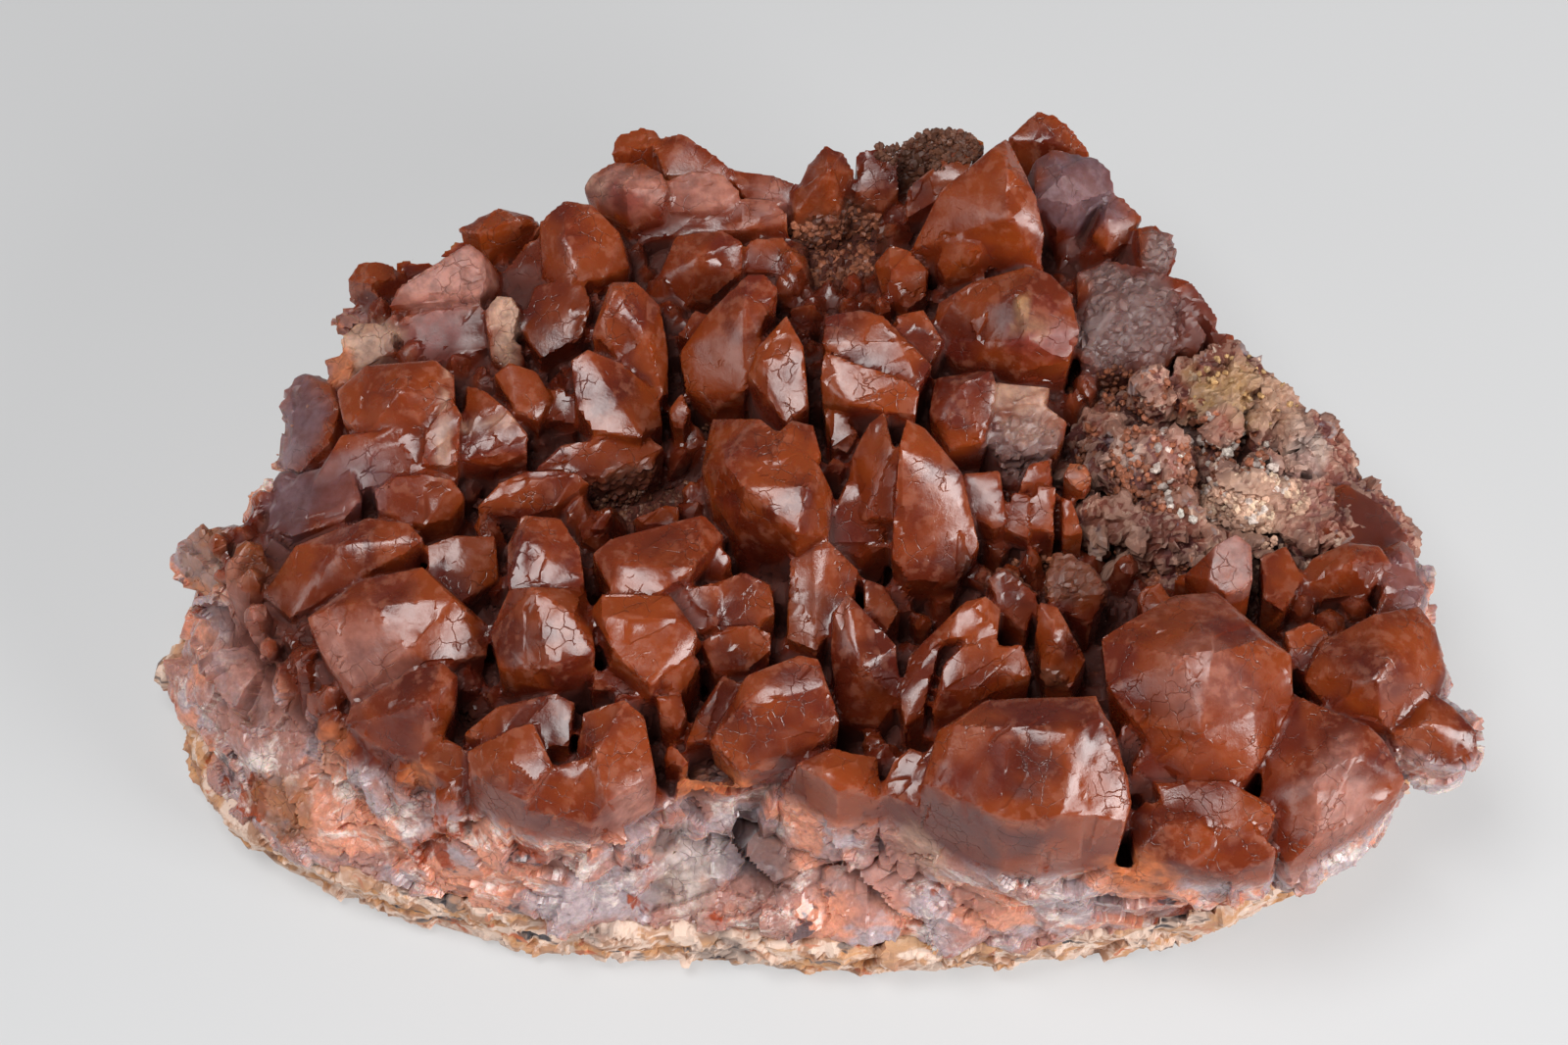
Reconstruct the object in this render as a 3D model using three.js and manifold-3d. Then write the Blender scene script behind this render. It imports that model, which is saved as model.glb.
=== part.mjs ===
// Hematoid quartz on matrix: a slab of host rock carrying a crust of grown-together,
// iron-stained quartz crystals. Millimetres, +X to the right, +Y to the back, +Z up.
import * as THREE from "three";
import { ConvexGeometry } from "three/addons/geometries/ConvexGeometry.js";
import * as BufferGeometryUtils from "three/addons/utils/BufferGeometryUtils.js";
import Module from "manifold-3d";

const wasm = await Module();
wasm.setup();

// Driving sizes.
const GAP = 0.45;
const LONE_CLEARANCE = 0.9;
const ROCK_BOTTOM = -20;
const ROCK_HALF_SIZE = 100;
const ROCK_TOP = 9;
const ROCK_WAVE = 1.1;
const CRUST_FLOOR = 26;
const CRUST_SLOPE = 0.045;
const WALL_ROUGHNESS = 1.3;

// Bare rock at the right: a mound that comes up through the crust and runs out to the edge.
const MOUND = { x: 54, y: 9, wide: 26, deep: 21, spread: 6, rise: 3, steps: 18 };

// Angular stones strewn over the mound, and how far out from its middle they lie.
const RUBBLE = { stones: 62, corners: 10, smallest: 1.5, largest: 3.8, reach: 0.94, seed: 63 };

// The sides of a crystal run down to this height, drawn in to this share of its width.
const ROOT_LEVEL = 20;
const ROOT_TAPER = 0.82;
// The far side slopes back to this share of the way that the line of sight would run.
const BACK_SLOPE = 0.85;
// At the back and the ends the roots stay this far inside the rim, so the crystals lean out.
const ROOT_REACH = 0.88;

// The viewpoint the crystals were measured from. A place "as seen" is where the line of
// sight from here meets the level plane SIGHT_PLANE.
const VIEWPOINT = new THREE.Vector3(-4.9, -403, 603.4);
const SIGHT_PLANE = 40;

// Plan outline at the foot of the wall, anticlockwise from the left end.
const FOOT_OUTLINE = [
  [-84, -8], [-82, -19], [-77, -29], [-69, -37], [-60, -42], [-50, -45], [-40, -47], [-30, -49],
  [-17, -50.5], [-5, -51], [8, -51.5], [20, -51.5], [32, -49.5], [46, -47.5], [57, -42], [64, -37],
  [71, -31], [75, -24], [77, -15], [78, -3], [75, 5], [70, 14], [64, 21], [58, 28], [52, 35],
  [45, 42], [38, 49], [31, 55], [24, 56], [13, 54], [3, 51], [-6, 48], [-16, 52], [-24, 54],
  [-32, 48], [-41, 45], [-51, 42], [-59, 37], [-65, 28], [-69, 14], [-75, 4], [-82, -1],
];

// Plan outline at the rim of the wall.
const RIM_OUTLINE = [
  [-79, -6], [-78, -16], [-72, -24], [-65, -32], [-58, -38], [-48, -43], [-40, -46], [-30, -49],
  [-20, -45], [-14, -38], [-5, -38.5], [4, -44], [14, -47], [22, -52.5], [32, -51.5], [42, -52],
  [52, -50], [62, -43], [71, -35], [75, -27], [77, -15], [77.5, -4], [74, 4.5], [69, 13],
  [63.5, 19.5], [58, 26], [53, 32], [46, 40], [38, 48], [31, 54], [23, 55.5], [13, 53], [3, 50],
  [-6, 47], [-16, 51], [-24, 53.5], [-32, 47], [-41, 44], [-50, 41], [-58, 37], [-64, 28],
  [-67, 14], [-70, 6], [-77, 0],
];

// Where the crystals end at the broken front and left, at and above the rim.
const BREAK_OUTLINE = [
  [-90, 2], [-80, -6], [-72, -12], [-66, -20], [-61, -28], [-60, -33], [-52, -38.5], [-44, -42],
  [-39, -46], [-30, -50], [-22, -45.5], [-18, -41], [-5, -42], [2, -46.5], [8, -46], [14, -49],
  [19, -53], [26, -54.5], [35, -53], [42, -54], [46, -57], [55, -54], [67, -47], [78, -40], [92, -28],
  [92, 10], [80, 40], [50, 68], [0, 72], [-50, 66], [-80, 40], [-92, 12],
];

const OUTLINE_STEPS = 56;
const ROCK_STEP = 25;
const SIMPLER_BY = [0.3, 0.26, 0.22, 0.19, 0.16, 0.13, 0.1, 0.08, 0.06, 0.045, 0.03, 0.02, 0.01];
const SAME_PLACE = 1e-3;
const WALL_LEVELS = [
  { z: 0, toRim: 0, inset: 2.2 },
  { z: 2.5, toRim: 0, inset: 0.3 },
  { z: 7, toRim: 0, inset: 0 },
  { z: 12, toRim: 0.2, inset: -0.3 },
  { z: 17.5, toRim: 0.6, inset: 0.2 },
];
const RIM_DROP = 4;
const RIM_SHARE = 0.9;

// Where the wall is a clean break the crystals stop at it; elsewhere they may lean out past it.
const BREAK_FROM_DEGREES = 184;
const BREAK_TO_DEGREES = 326;
const FREE_OVERHANG = 16;
const BREAK_STEPS = 90;
const BREAK_RIM = 24;
const BREAK_TOP = 70;

// Crystals, each by the corners of its faces: place as seen and height. Its sides run down
// from the corners into the crust.
const CRYSTALS = [
  // back left
  [[-47.6, 38, 36], [-42.4, 41.7, 37], [-37.5, 40.2, 37], [-36.8, 38.6, 36.5], [-40, 40, 38.5],
    [-45, 37.3, 37.5], [-38.3, 34.8, 33.5], [-45, 33.5, 32]],
  [[-50, 33.5, 31], [-47, 37, 33], [-44, 35, 32], [-46, 32, 30]],
  [[-61.4, 30, 31], [-60, 32.6, 32], [-58, 33, 33], [-55.5, 32.3, 32.5], [-55, 30, 32],
    [-55.5, 26, 28.5], [-61, 26, 27], [-58.5, 29, 33]],
  [[-55.5, 32.5, 31], [-54, 33.3, 32], [-51, 33, 32], [-50, 30, 30], [-55, 29, 29]],
  [[-63.7, 23.5, 26], [-62, 25.5, 27.5], [-58.5, 25.6, 28.5], [-58, 22, 26], [-63, 21, 24]],
  [[-33.6, 43, 41], [-36.8, 39.4, 39], [-30, 42.3, 41], [-26.3, 37.5, 39.5], [-25, 32, 36.5],
    [-33.6, 37, 41], [-36.5, 37.2, 38.7], [-31.6, 29.6, 38.3], [-36.2, 30, 35.5], [-28.5, 30, 38]],
  [[-38.5, 36, 36], [-36.5, 37, 37], [-35.8, 30, 35], [-36.5, 24.5, 33], [-40.5, 25, 32], [-41, 32, 34]],
  [[-37, 29, 36], [-31, 30, 38], [-29.8, 26, 37.5], [-31, 20.5, 35], [-36, 17, 33], [-38.8, 22, 34]],
  [[-27.3, 29.5, 44.5], [-24, 29.5, 44], [-20.8, 25.5, 41.5], [-19.8, 19, 38.5], [-19.7, 11.5, 35],
    [-28, 24.5, 43], [-20.3, 11, 36.5], [-26.8, 28, 44.8], [-22.3, 20.3, 42.2], [-29.5, 21, 40],
    [-26, 17, 39]],
  // back centre
  [[-27.8, 51, 35.5], [-27, 54, 36], [-24, 55.3, 37], [-21.5, 54.5, 37], [-22, 52, 37.5],
    [-27.5, 50, 34.5], [-22, 48, 34]],
  [[-21.5, 53.5, 37], [-18.5, 54.4, 38.5], [-17.3, 53.5, 38.5], [-14.5, 50.5, 37.5], [-12, 48.8, 37],
    [-13, 46, 36], [-20.5, 47, 36.5], [-21.5, 50, 37]],
  [[-13, 48.5, 36], [-9, 47.7, 36], [-6.5, 47.5, 36], [-3.5, 46, 36], [-3.8, 42, 34.5], [-10, 43.5, 35.5]],
  [[-24, 36, 33], [-21, 39.2, 34.5], [-10, 43.3, 36], [-6.5, 43.3, 36], [-4.5, 41, 35.5],
    [-4.5, 39, 34.5], [-10, 38, 34.5], [-20, 37, 34]],
  [[-19, 37, 36.5], [-13, 38, 37.5], [-10.3, 36, 36.5], [-10.5, 31, 34.5], [-14, 27, 33],
    [-17.5, 25.7, 32.5], [-21, 30.5, 34], [-16, 33.5, 38]],
  [[-9.5, 36.5, 35.5], [-5, 37, 35], [-3.7, 34, 34], [-5.5, 31, 33], [-9.5, 31.5, 33.5]],
  [[-2, 48.5, 38], [0.5, 52.2, 40], [3, 51, 39.5], [4.5, 47.5, 38], [2, 41, 35], [-3.7, 40, 34],
    [-3.7, 44.5, 36], [1, 48, 41]],
  [[4.5, 50.8, 38], [6, 52, 39], [10, 52.3, 39], [10.3, 45, 36], [8, 41, 33.5], [4.8, 44, 35.5]],
  [[6.8, 32.5, 36], [9, 35.5, 37.5], [11.5, 34.5, 37.5], [13.8, 31.3, 36.5], [13.5, 27.5, 34.5],
    [11, 25.3, 33.5], [8, 27, 34], [9, 31.5, 37.5]],
  // back right
  [[24.8, 53.7, 39.5], [28.7, 58.2, 41], [31, 57.5, 41], [33.5, 54.5, 40], [35.8, 50.3, 38],
    [33, 51, 38.5], [29, 53, 40], [25.5, 53, 39.5]],
  [[11.3, 45, 37], [14, 47.5, 39], [16.5, 50, 40], [20, 50, 40], [19, 46, 39], [15, 43, 37],
    [11, 40, 34.5], [18, 52, 38.5]],
  [[22.8, 52, 48], [24.5, 53.5, 46.5], [20, 49, 46.5], [15.5, 44.5, 43], [11.7, 34.8, 36],
    [14.3, 30.5, 33], [24.5, 48.5, 48.5], [28, 44, 46], [29, 37, 42], [28.5, 32, 38.5],
    [22, 31.5, 37], [24.5, 40, 45.5]],
  [[16.5, 37, 39.5], [18, 37, 40], [21.5, 36.8, 40], [22.5, 34, 38.5], [21, 30, 36.5],
    [16, 30, 35.5], [15, 32.5, 36.5], [19.5, 34.5, 40.5]],
  [[25, 34.5, 40], [26.8, 35.8, 40.5], [28.8, 31.7, 38.5], [25.2, 31.8, 38]],
  [[28, 49.5, 42], [30.5, 51.5, 42.5], [36, 50.2, 41], [38, 48, 40], [38.5, 44.5, 38.5],
    [33, 39, 37], [30.5, 38.2, 37], [28, 43, 41], [31.5, 47, 43.5], [32.5, 42, 41]],
  [[37.5, 44, 38], [39.5, 43.5, 38], [42, 40.3, 36.5], [40, 36, 35], [37, 34, 34.5], [35.2, 37, 36],
    [37, 39.8, 38.5]],
  [[41, 38.5, 37], [43.5, 39, 37], [45.5, 36.5, 36.5], [46.2, 33, 35], [45, 31.8, 34.5],
    [43, 31, 34.5], [41.3, 33, 36], [42.5, 36, 38]],
  [[26.8, 32, 43], [29.5, 30.8, 43], [32, 27.5, 42], [33, 22, 39.5], [31.5, 16.5, 36.5],
    [25, 14.8, 35.5], [17.5, 16, 34], [13.8, 20, 34.5], [15, 26, 38], [19.5, 29.5, 41],
    [25, 27, 44], [26.5, 20, 41]],
  [[46.3, 24.5, 35], [47.5, 24.8, 35], [49.5, 21, 33], [48, 18, 31.5], [46, 19, 32]],
  [[48, 29.5, 34], [51, 24, 32], [50.8, 22, 31.5], [47, 27, 34.5]],
  [[50, 21.5, 31], [53, 21, 30], [54, 18.5, 29], [51, 17, 29.5]],
  // left middle
  [[-67, 14, 27], [-66, 14.8, 28], [-63, 13, 29.5], [-61.5, 9, 31], [-62.5, 4, 31], [-66, -1, 28],
    [-69.5, 0, 25.5], [-68.8, 7, 25.5]],
  [[-62, 12, 36], [-58.5, 16, 39], [-53, 16.5, 41.5], [-49.5, 17, 41.5], [-47, 14.5, 41],
    [-46.8, 11, 40.5], [-50, 5.5, 38.5], [-58, 5, 36], [-61, 7.5, 35.5], [-54, 12, 42]],
  [[-61, 5, 36], [-54.5, 5.8, 38], [-50.2, 5, 38], [-50.5, -1, 36], [-56, -1, 35], [-62, -5, 32],
    [-66, -6, 30], [-63, 0, 34]],
  [[-49.8, 9, 40], [-47.3, 11.3, 41], [-45.8, 8, 40.5], [-46.2, 0.2, 37], [-50.6, 0.3, 37],
    [-50.5, 5, 39]],
  [[-56.5, -3.5, 36], [-54, -1.3, 37.5], [-50, -1, 38], [-46.5, -2, 37.5], [-45, -4.5, 36],
    [-46.5, -8, 34], [-50, -9, 34], [-56, -6.5, 34.5]],
  [[-69.5, -4, 29], [-66, -1, 31], [-60, 1, 34.5], [-58, -5, 35], [-60, -8, 33.5], [-63, -7.5, 32],
    [-66.5, -10.5, 30], [-69.7, -9, 28.5]],
  [[-45.5, 13, 38], [-43, 12, 39], [-40, 9, 39], [-37.3, 5, 38], [-37.3, 2.5, 36.8], [-41, 0.5, 35],
    [-45.5, 1, 35.5]],
  [[-42, 14.5, 37], [-40, 16.5, 38], [-36.5, 15, 37.5], [-34.5, 11, 36], [-36, 7, 34.5], [-39, 9, 36.5]],
  [[-36.2, 12, 35.5], [-33, 12.5, 36], [-31, 9.5, 35], [-31.5, 6.5, 33.5], [-35.5, 8, 34]],
  [[-81.2, -14.5, 21], [-79.5, -11, 24], [-76.5, -9, 26], [-74, -9.5, 27], [-72.5, -13, 26.5],
    [-73.5, -18, 24], [-77, -20, 21], [-80, -18.5, 19.5]],
  [[-72.5, -11.5, 27], [-69, -10.7, 29], [-66.3, -13, 29.5], [-68.5, -18, 27], [-71.5, -19.5, 25.5],
    [-73.5, -17, 25]],
  [[-72.5, -4, 24], [-70, -1.5, 26], [-69, -6, 27], [-69.5, -9, 26.5], [-73, -8.5, 24]],
  [[-66, -12, 33], [-60, -9, 35.5], [-57, -7.7, 37], [-52, -8.5, 38], [-50, -11, 38],
    [-52.5, -13.5, 36.5], [-58, -17, 34.5], [-62, -19, 32.5], [-66, -23, 29.5], [-69.5, -19.5, 29],
    [-60, -12, 37]],
  [[-49.5, -12, 36], [-46, -10.5, 36.5], [-41, -10.5, 36], [-40.3, -17, 33], [-45, -21, 33],
    [-49, -18, 34.5]],
  // left lower
  [[-64, -23, 35.5], [-61, -21.3, 37.5], [-55.5, -21.5, 39], [-51, -27.5, 37.5], [-57.5, -33.7, 33.3],
    [-62, -28, 34], [-58, -17.3, 38.5], [-50, -15.2, 40], [-46, -20, 40], [-41.5, -24, 36],
    [-41.5, -28.5, 34], [-49, -29.5, 36], [-58, -35.5, 31.5]],
  [[-47, -29.5, 39.5], [-45, -31.5, 38.5], [-45.3, -36, 36], [-46.5, -41, 33.5], [-49.5, -46, 30.5],
    [-55, -43.5, 29], [-59, -39.5, 30], [-58, -36, 32], [-51, -31, 38], [-48.5, -35, 39.5]],
  [[-48.5, -42, 33.5], [-46, -40.7, 34], [-43.8, -42, 33.5], [-43.5, -50, 28.5], [-45.5, -48, 29],
    [-49.5, -46, 31]],
  [[-78, -20, 24], [-71.5, -17.5, 26], [-69.5, -21, 27], [-66, -26.5, 28], [-60.5, -31.5, 29],
    [-60, -36, 28], [-62, -40.5, 26], [-66, -38, 24.5], [-72, -31, 23], [-79, -26, 21]],
  [[-61.5, -39, 27], [-59, -38.5, 28], [-57.5, -40, 28], [-56, -43, 27], [-60, -44, 25], [-62, -41.5, 25.5]],
  // centre left
  [[-30.2, 18.6, 42], [-22.8, 4.6, 38], [-32.2, 17, 41.2], [-31.3, 9.5, 38.8], [-29.3, 5.8, 37.8],
    [-25.5, 16.3, 40], [-21, 11.5, 37], [-20.3, 6.5, 35.5]],
  [[-36, 0, 34.5], [-33, 3.5, 36], [-27, 4.5, 36.5], [-22, 4.5, 36], [-20, 3, 35.5], [-22, 0, 34],
    [-28, -1.5, 33.5], [-34.5, -0.7, 33.8]],
  [[-43.5, -6, 34], [-41, -2.5, 35.5], [-37, -0.5, 36.3], [-31, -0.8, 36.3], [-29.5, -2.5, 35],
    [-34, -6.5, 33], [-38, -8, 32], [-41.5, -7.5, 32.5]],
  [[-29.3, -9.5, 33.5], [-27, -6.2, 35], [-26.3, -6.5, 34.8], [-27.3, -9.5, 33.2], [-28.5, -9.9, 33.2]],
  [[-23.7, -7.8, 34.5], [-20, -5.8, 35.5], [-18, -6, 35], [-18, -8.5, 33.6], [-20.8, -8.6, 33.7],
    [-22.5, -8.8, 34]],
  [[-19.5, 9, 36], [-18, 11.5, 37], [-16.8, 9, 36.5], [-17.5, 6, 35], [-19, 6.5, 35]],
  // centre
  [[-9.8, 30.7, 46], [-7.3, 30.7, 45.5], [-5.7, 28.5, 44.5], [-8, 21, 43], [-10, 25.5, 45.5],
    [-15, 24, 41.5], [-18.3, 18, 37.5], [-17.5, 12, 34.5], [-14, 9, 34], [-10, 12, 38.5]],
  [[-18.5, 21, 37], [-16.5, 25, 38.5], [-14.5, 24, 39], [-15, 19, 36.5]],
  [[-6, 21.5, 45], [-4.6, 24, 45.5], [-2.4, 19, 45], [-1.7, 9.5, 42], [-4.8, 7, 40.7], [-7, 11, 41.6],
    [-7.6, 17, 43.7], [-9.5, 14.5, 41], [-8.5, 18.5, 43]],
  [[0.3, 18.4, 44], [10.5, 13.8, 43], [12.4, 11.8, 42], [11.8, 8, 40], [3.3, 9.9, 41.3],
    [-0.3, 14, 42], [0, 10, 39.5]],
  [[0.5, 24, 43], [5, 25, 44], [8, 24, 43.5], [10, 20, 43], [14, 16, 41], [12.5, 13, 40.5],
    [0, 19.5, 42.5]],
  [[9.5, 24, 40], [13, 25, 39.5], [15.5, 20, 37], [14, 16.5, 36], [11, 17, 37]],
  [[-9.9, -2.9, 46.5], [-1.9, -3, 47.2], [-3.2, -10.2, 44.7], [-12.2, 0.4, 46.3], [-8, 7.6, 46.5],
    [-0.5, 0.5, 46.8], [-14, 7.5, 41], [-15.3, 0, 40], [-14, -5, 39.5], [-11, -10.5, 38],
    [-8, -12.2, 38], [0.8, -10.8, 40.5], [1.2, -4, 42], [-3, -12, 39]],
  [[-6.3, 4.5, 47], [-4, 7.4, 47], [-1.2, 6.6, 46.3], [-0.2, 2, 45.5], [-6.2, 1.6, 47.5],
    [-0.5, 0.2, 45], [-5, 0.3, 46.8]],
  [[0.3, 8.7, 38.5], [1.5, 9, 39], [4.5, 5.5, 38], [3, 2.3, 36.5], [1, 3, 37]],
  [[0.3, 0.2, 40], [1.5, 1.7, 40.5], [3, 0.5, 39.5], [2.2, -1.3, 38.5], [0.3, -1.2, 39]],
  [[10.7, 7.5, 50], [13, 6, 48.5], [17.6, -0.8, 44.5], [17.3, -5, 42.5], [19.5, -12, 37],
    [16.5, -17.5, 34.5], [10.5, -17.5, 35.5], [9.6, 3, 49.5], [8.5, -14, 38]],
  [[8, 8.8, 48.5], [5.8, 6.6, 47], [3.6, 1.5, 43.5], [3.2, -3, 41], [9, 3, 47.5], [9, -8, 41],
    [5, -8, 40]],
  [[3, -2.2, 42], [1.6, -6, 40.5], [1, -11.5, 37], [5, -14, 35], [5.5, -4.5, 41.5], [8, -12, 37]],
  [[21.6, 15.3, 42], [17.8, 12.8, 41.5], [22.3, 12.5, 40.5], [20.4, 4, 37], [15.8, 2.8, 36],
    [15.5, 6.5, 38], [13.5, 9, 38], [14.5, 14, 39]],
  [[18, -0.8, 38], [22.4, -0.5, 38.5], [23, -8.5, 36], [21.5, -9.8, 35], [18, -7, 35.5]],
  [[24.8, -2.8, 36.5], [26, 0.5, 37.8], [28.8, 1.3, 38], [29, -1.5, 37], [27, -3.7, 36]],
  [[23.8, -3.8, 37], [26, -4.2, 37], [25.8, -11, 34], [23.3, -10, 34]],
  [[27, -2.7, 37.5], [29.3, -3, 37.5], [29, -10, 34.5], [26.3, -9.5, 34.5]],
  [[30, -4.3, 36.5], [31.3, -5, 36.3], [32.5, -10, 33.8], [30, -10.5, 33.8]],
  // centre lower
  [[-37.8, -7.3, 43.5], [-33, -7.8, 43], [-30.5, -12, 42.6], [-29.7, -17.5, 41.9], [-39.3, -18, 41],
    [-39.5, -12, 40], [-37.6, -11.2, 43.5]],
  [[-36.2, -18.2, 44.5], [-31, -22.5, 43.6], [-28.2, -28, 42], [-34, -30.2, 40.6], [-35.2, -24, 42.6],
    [-41.2, -25, 38], [-40, -30.5, 37], [-37.5, -32.5, 36], [-29.5, -18.5, 40], [-33, -33.5, 36],
    [-39, -18.5, 41.5]],
  [[-28.8, -13.3, 42], [-26.5, -11, 42.5], [-15, -7.3, 43], [-12.5, -10.5, 41], [-25.8, -14.8, 43.6],
    [-16.5, -15.6, 44], [-20, -19, 42.8], [-26.4, -18.7, 42.2]],
  [[-27.3, -22.8, 44], [-18, -23.3, 43.6], [-15.6, -25.2, 42], [-16, -28, 40.5], [-21.3, -33, 39.5],
    [-26, -28, 41.8], [-29, -22, 41], [-26.5, -30, 38.5], [-22, -33.5, 37], [-27.5, -19.3, 43.8],
    [-19, -19.6, 43.6]],
  [[-20, -30, 41], [-17, -27.7, 41], [-15.2, -29.5, 39], [-16.5, -33, 37], [-18.5, -33.8, 37],
    [-20, -32.5, 38]],
  [[-16.3, -14, 40], [-13.3, -11.7, 41], [-11.4, -14, 39], [-12.5, -16.5, 38], [-15, -17, 38]],
  [[-17.8, -19, 40.5], [-14, -17.5, 41], [-13, -17.8, 41], [-13, -24, 38.5], [-15, -24.8, 38],
    [-18, -22, 39]],
  [[-12.8, -17.3, 41], [-10, -15.8, 41.5], [-6.5, -18, 39.5], [-6, -22, 38], [-8, -23.8, 37.5],
    [-12.8, -23.8, 38]],
  [[-15, -26.5, 38.5], [-12, -24.2, 39.5], [-9, -24, 39.5], [-6.5, -25, 38.5], [-6.5, -28, 37],
    [-9, -30.5, 36], [-13.5, -31, 36]],
  [[-12.3, -31.2, 40], [-10.3, -32.5, 39], [-11, -36, 37], [-14.5, -41, 34], [-17, -41.5, 33],
    [-15.5, -37, 35]],
  [[-20.5, -34.5, 37.5], [-17.5, -34.3, 37], [-16.8, -37, 36], [-17.8, -39.3, 34.5], [-20, -37.5, 35.5]],
  [[-19, -41.5, 33.5], [-18, -42, 33.5], [-16.5, -44, 32.5], [-17.5, -45, 31.5], [-19.5, -43.5, 32]],
  [[-25.7, -34.7, 36.5], [-24.5, -34, 36.8], [-22, -34.8, 36], [-22.5, -35.5, 35.3], [-25.5, -35.4, 35.5]],
  [[-28.5, -31, 37.5], [-26, -30.5, 37.8], [-23, -32.5, 36.5], [-24.5, -34, 35.5], [-28.5, -33.5, 35.5]],
  [[-9.5, -31.5, 42], [-3, -28.4, 43.5], [-0.6, -29, 43.5], [0.4, -33, 43], [-10, -36, 41.5],
    [1.9, -37.8, 39.5], [0.2, -40.5, 38], [-5, -40, 38], [-14, -41, 36.5], [-10, -46, 34], [-4, -45, 34]],
  [[-43.5, -42.5, 36], [-40.5, -41.3, 38], [-37.8, -38.8, 40.5], [-35.5, -38.3, 41], [-33, -44.5, 40],
    [-35, -47, 39], [-38.3, -54, 33.5], [-41.5, -54, 31], [-43.3, -50, 31.5], [-38.2, -44, 39.5]],
  [[-40, -36, 37], [-33, -34, 40], [-30.5, -35.5, 39.5], [-31, -42, 37.5], [-39, -41.5, 36], [-44, -40, 34]],
  [[-35.5, -45.5, 38.5], [-30, -46.5, 38.5], [-27.8, -43, 39.5], [-26.3, -50, 36], [-30.8, -57, 31],
    [-38.3, -54.3, 31.5], [-33, -56.5, 30.5]],
  [[-24.5, -35, 42], [-27.8, -42.8, 40.5], [-20.3, -46.7, 37], [-22, -37.5, 40.5], [-29.5, -37, 40],
    [-30, -41, 38.5], [-20.5, -50, 34.5], [-23.5, -55, 32], [-29.5, -59, 29], [-31, -56, 30.5],
    [-26.3, -50, 37]],
  [[-18, -47, 31], [-17, -46.3, 31.5], [-12.5, -47, 32], [-10, -48, 31], [-12, -50.8, 29],
    [-16, -50.5, 29], [-18.2, -49, 29.5]],
  // right lower
  [[-1.5, -10.3, 41], [1, -11.6, 40.5], [4.5, -16, 38], [4, -19, 37], [1, -20.5, 36.5],
    [-4.3, -14, 39], [-4.6, -26, 34], [-1, -28, 34]],
  [[5, -17, 37], [7.5, -18, 36.5], [9.5, -22, 35], [8, -25, 34], [5, -21, 36]],
  [[3, -19.2, 44], [9, -27, 40], [9.2, -35, 35], [6.5, -39, 32], [2, -38, 32.5], [0.8, -28, 39],
    [1.2, -22, 42.5], [4.5, -30, 40.5]],
  [[20, -19.5, 43.2], [17.5, -20.5, 42.6], [18.6, -21, 43.1], [21.5, -25.6, 41.7], [22, -21.5, 41.5],
    [15.2, -25.9, 41], [16.5, -22, 42.4], [10.5, -28.5, 37]],
  [[10.5, -28.5, 37.5], [14.5, -26, 39.5], [9.3, -34.6, 36.5], [9.9, -38.7, 35], [13.4, -31.2, 38.4],
    [12.2, -37, 35.6]],
  [[17.3, -26.8, 41], [24.5, -26.8, 40.5], [25.5, -31, 37], [14.8, -29.6, 40], [14.5, -33.7, 38.5],
    [18.5, -33.3, 38], [13.2, -37, 35.5], [18, -36, 35.5]],
  [[26.6, -20.4, 41], [29, -21.2, 41], [30.2, -24, 40], [32.3, -29, 36.5], [30.5, -33, 34],
    [27.3, -31.5, 35], [26.2, -25, 38.5], [28.5, -25, 40.5]],
  [[22.5, -15.3, 41], [20.5, -17, 40], [21, -19, 39], [26.5, -19.5, 39], [25, -25, 36], [22, -22, 38]],
  [[29, -13.5, 40], [31, -13.4, 40], [33.5, -15.5, 39], [35, -19, 37], [33, -24, 34.5], [28, -17, 39],
    [28, -20, 38]],
  [[33.9, -37.7, 49.5], [29.6, -40, 49.5], [23, -39, 49], [16, -38.5, 47], [33.5, -34.4, 48],
    [20, -35, 46], [13.8, -39.5, 44.5], [28.3, -56, 41.5], [23.5, -63, 37], [20, -58, 39],
    [14, -53, 40], [10.5, -53.5, 38.5], [14.5, -46, 43.5], [37.2, -50, 42], [36.8, -46, 44],
    [35.6, -40, 47], [36, -54, 40], [32, -61, 37], [28, -64, 36]],
  [[10.3, -41.9, 38], [12, -42.6, 38], [11.2, -45.5, 37], [8.3, -50.5, 35], [6.8, -50, 34.8],
    [7.2, -47, 36], [8.7, -43.3, 37.3]],
  [[13.8, -40.6, 39], [15.2, -41.6, 38.9], [14.8, -47, 37], [12, -50.5, 35.5], [9.4, -53, 34.3],
    [9, -51.5, 34.8], [10, -48, 36.1], [12.2, -43, 38]],
  [[-3, -44, 38], [1, -42, 38.5], [6.5, -43, 37], [6.8, -49.5, 34.5], [0, -45, 38.6], [4.6, -48.3, 37],
    [-2.3, -49.6, 36.7], [-5, -47, 35.5], [-5, -51, 33], [3, -52, 34]],
  [[48, -28, 47.5], [54, -26, 45], [57.7, -28.5, 43], [57.5, -35, 40], [55.5, -39.5, 38.5],
    [52.5, -37, 43], [46, -40, 42.5], [53, -44, 38], [51, -46.8, 36.5], [44, -47.5, 36],
    [40.5, -43.5, 38], [38.5, -39, 40], [34.8, -33, 41], [34.3, -26, 42.5], [38, -23.2, 43.5],
    [43.5, -19.5, 42.5], [48.8, -19, 41.5], [50.5, -22.5, 42.5], [44.5, -28.5, 47]],
  [[36.3, -38.8, 38.5], [38.6, -39.7, 38.5], [38.8, -41, 37.5], [36.8, -45, 35.5], [35.8, -42, 36.5]],
  [[39, -41.2, 38.5], [40.8, -42.2, 38.5], [42.3, -47, 35.5], [41, -49, 34.5], [37.2, -48.5, 34.5],
    [37.5, -44.5, 37]],
  [[40.3, -18, 39], [42, -17.4, 39.3], [43, -19.5, 38], [42.3, -22, 37], [39.5, -22, 36.8],
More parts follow.
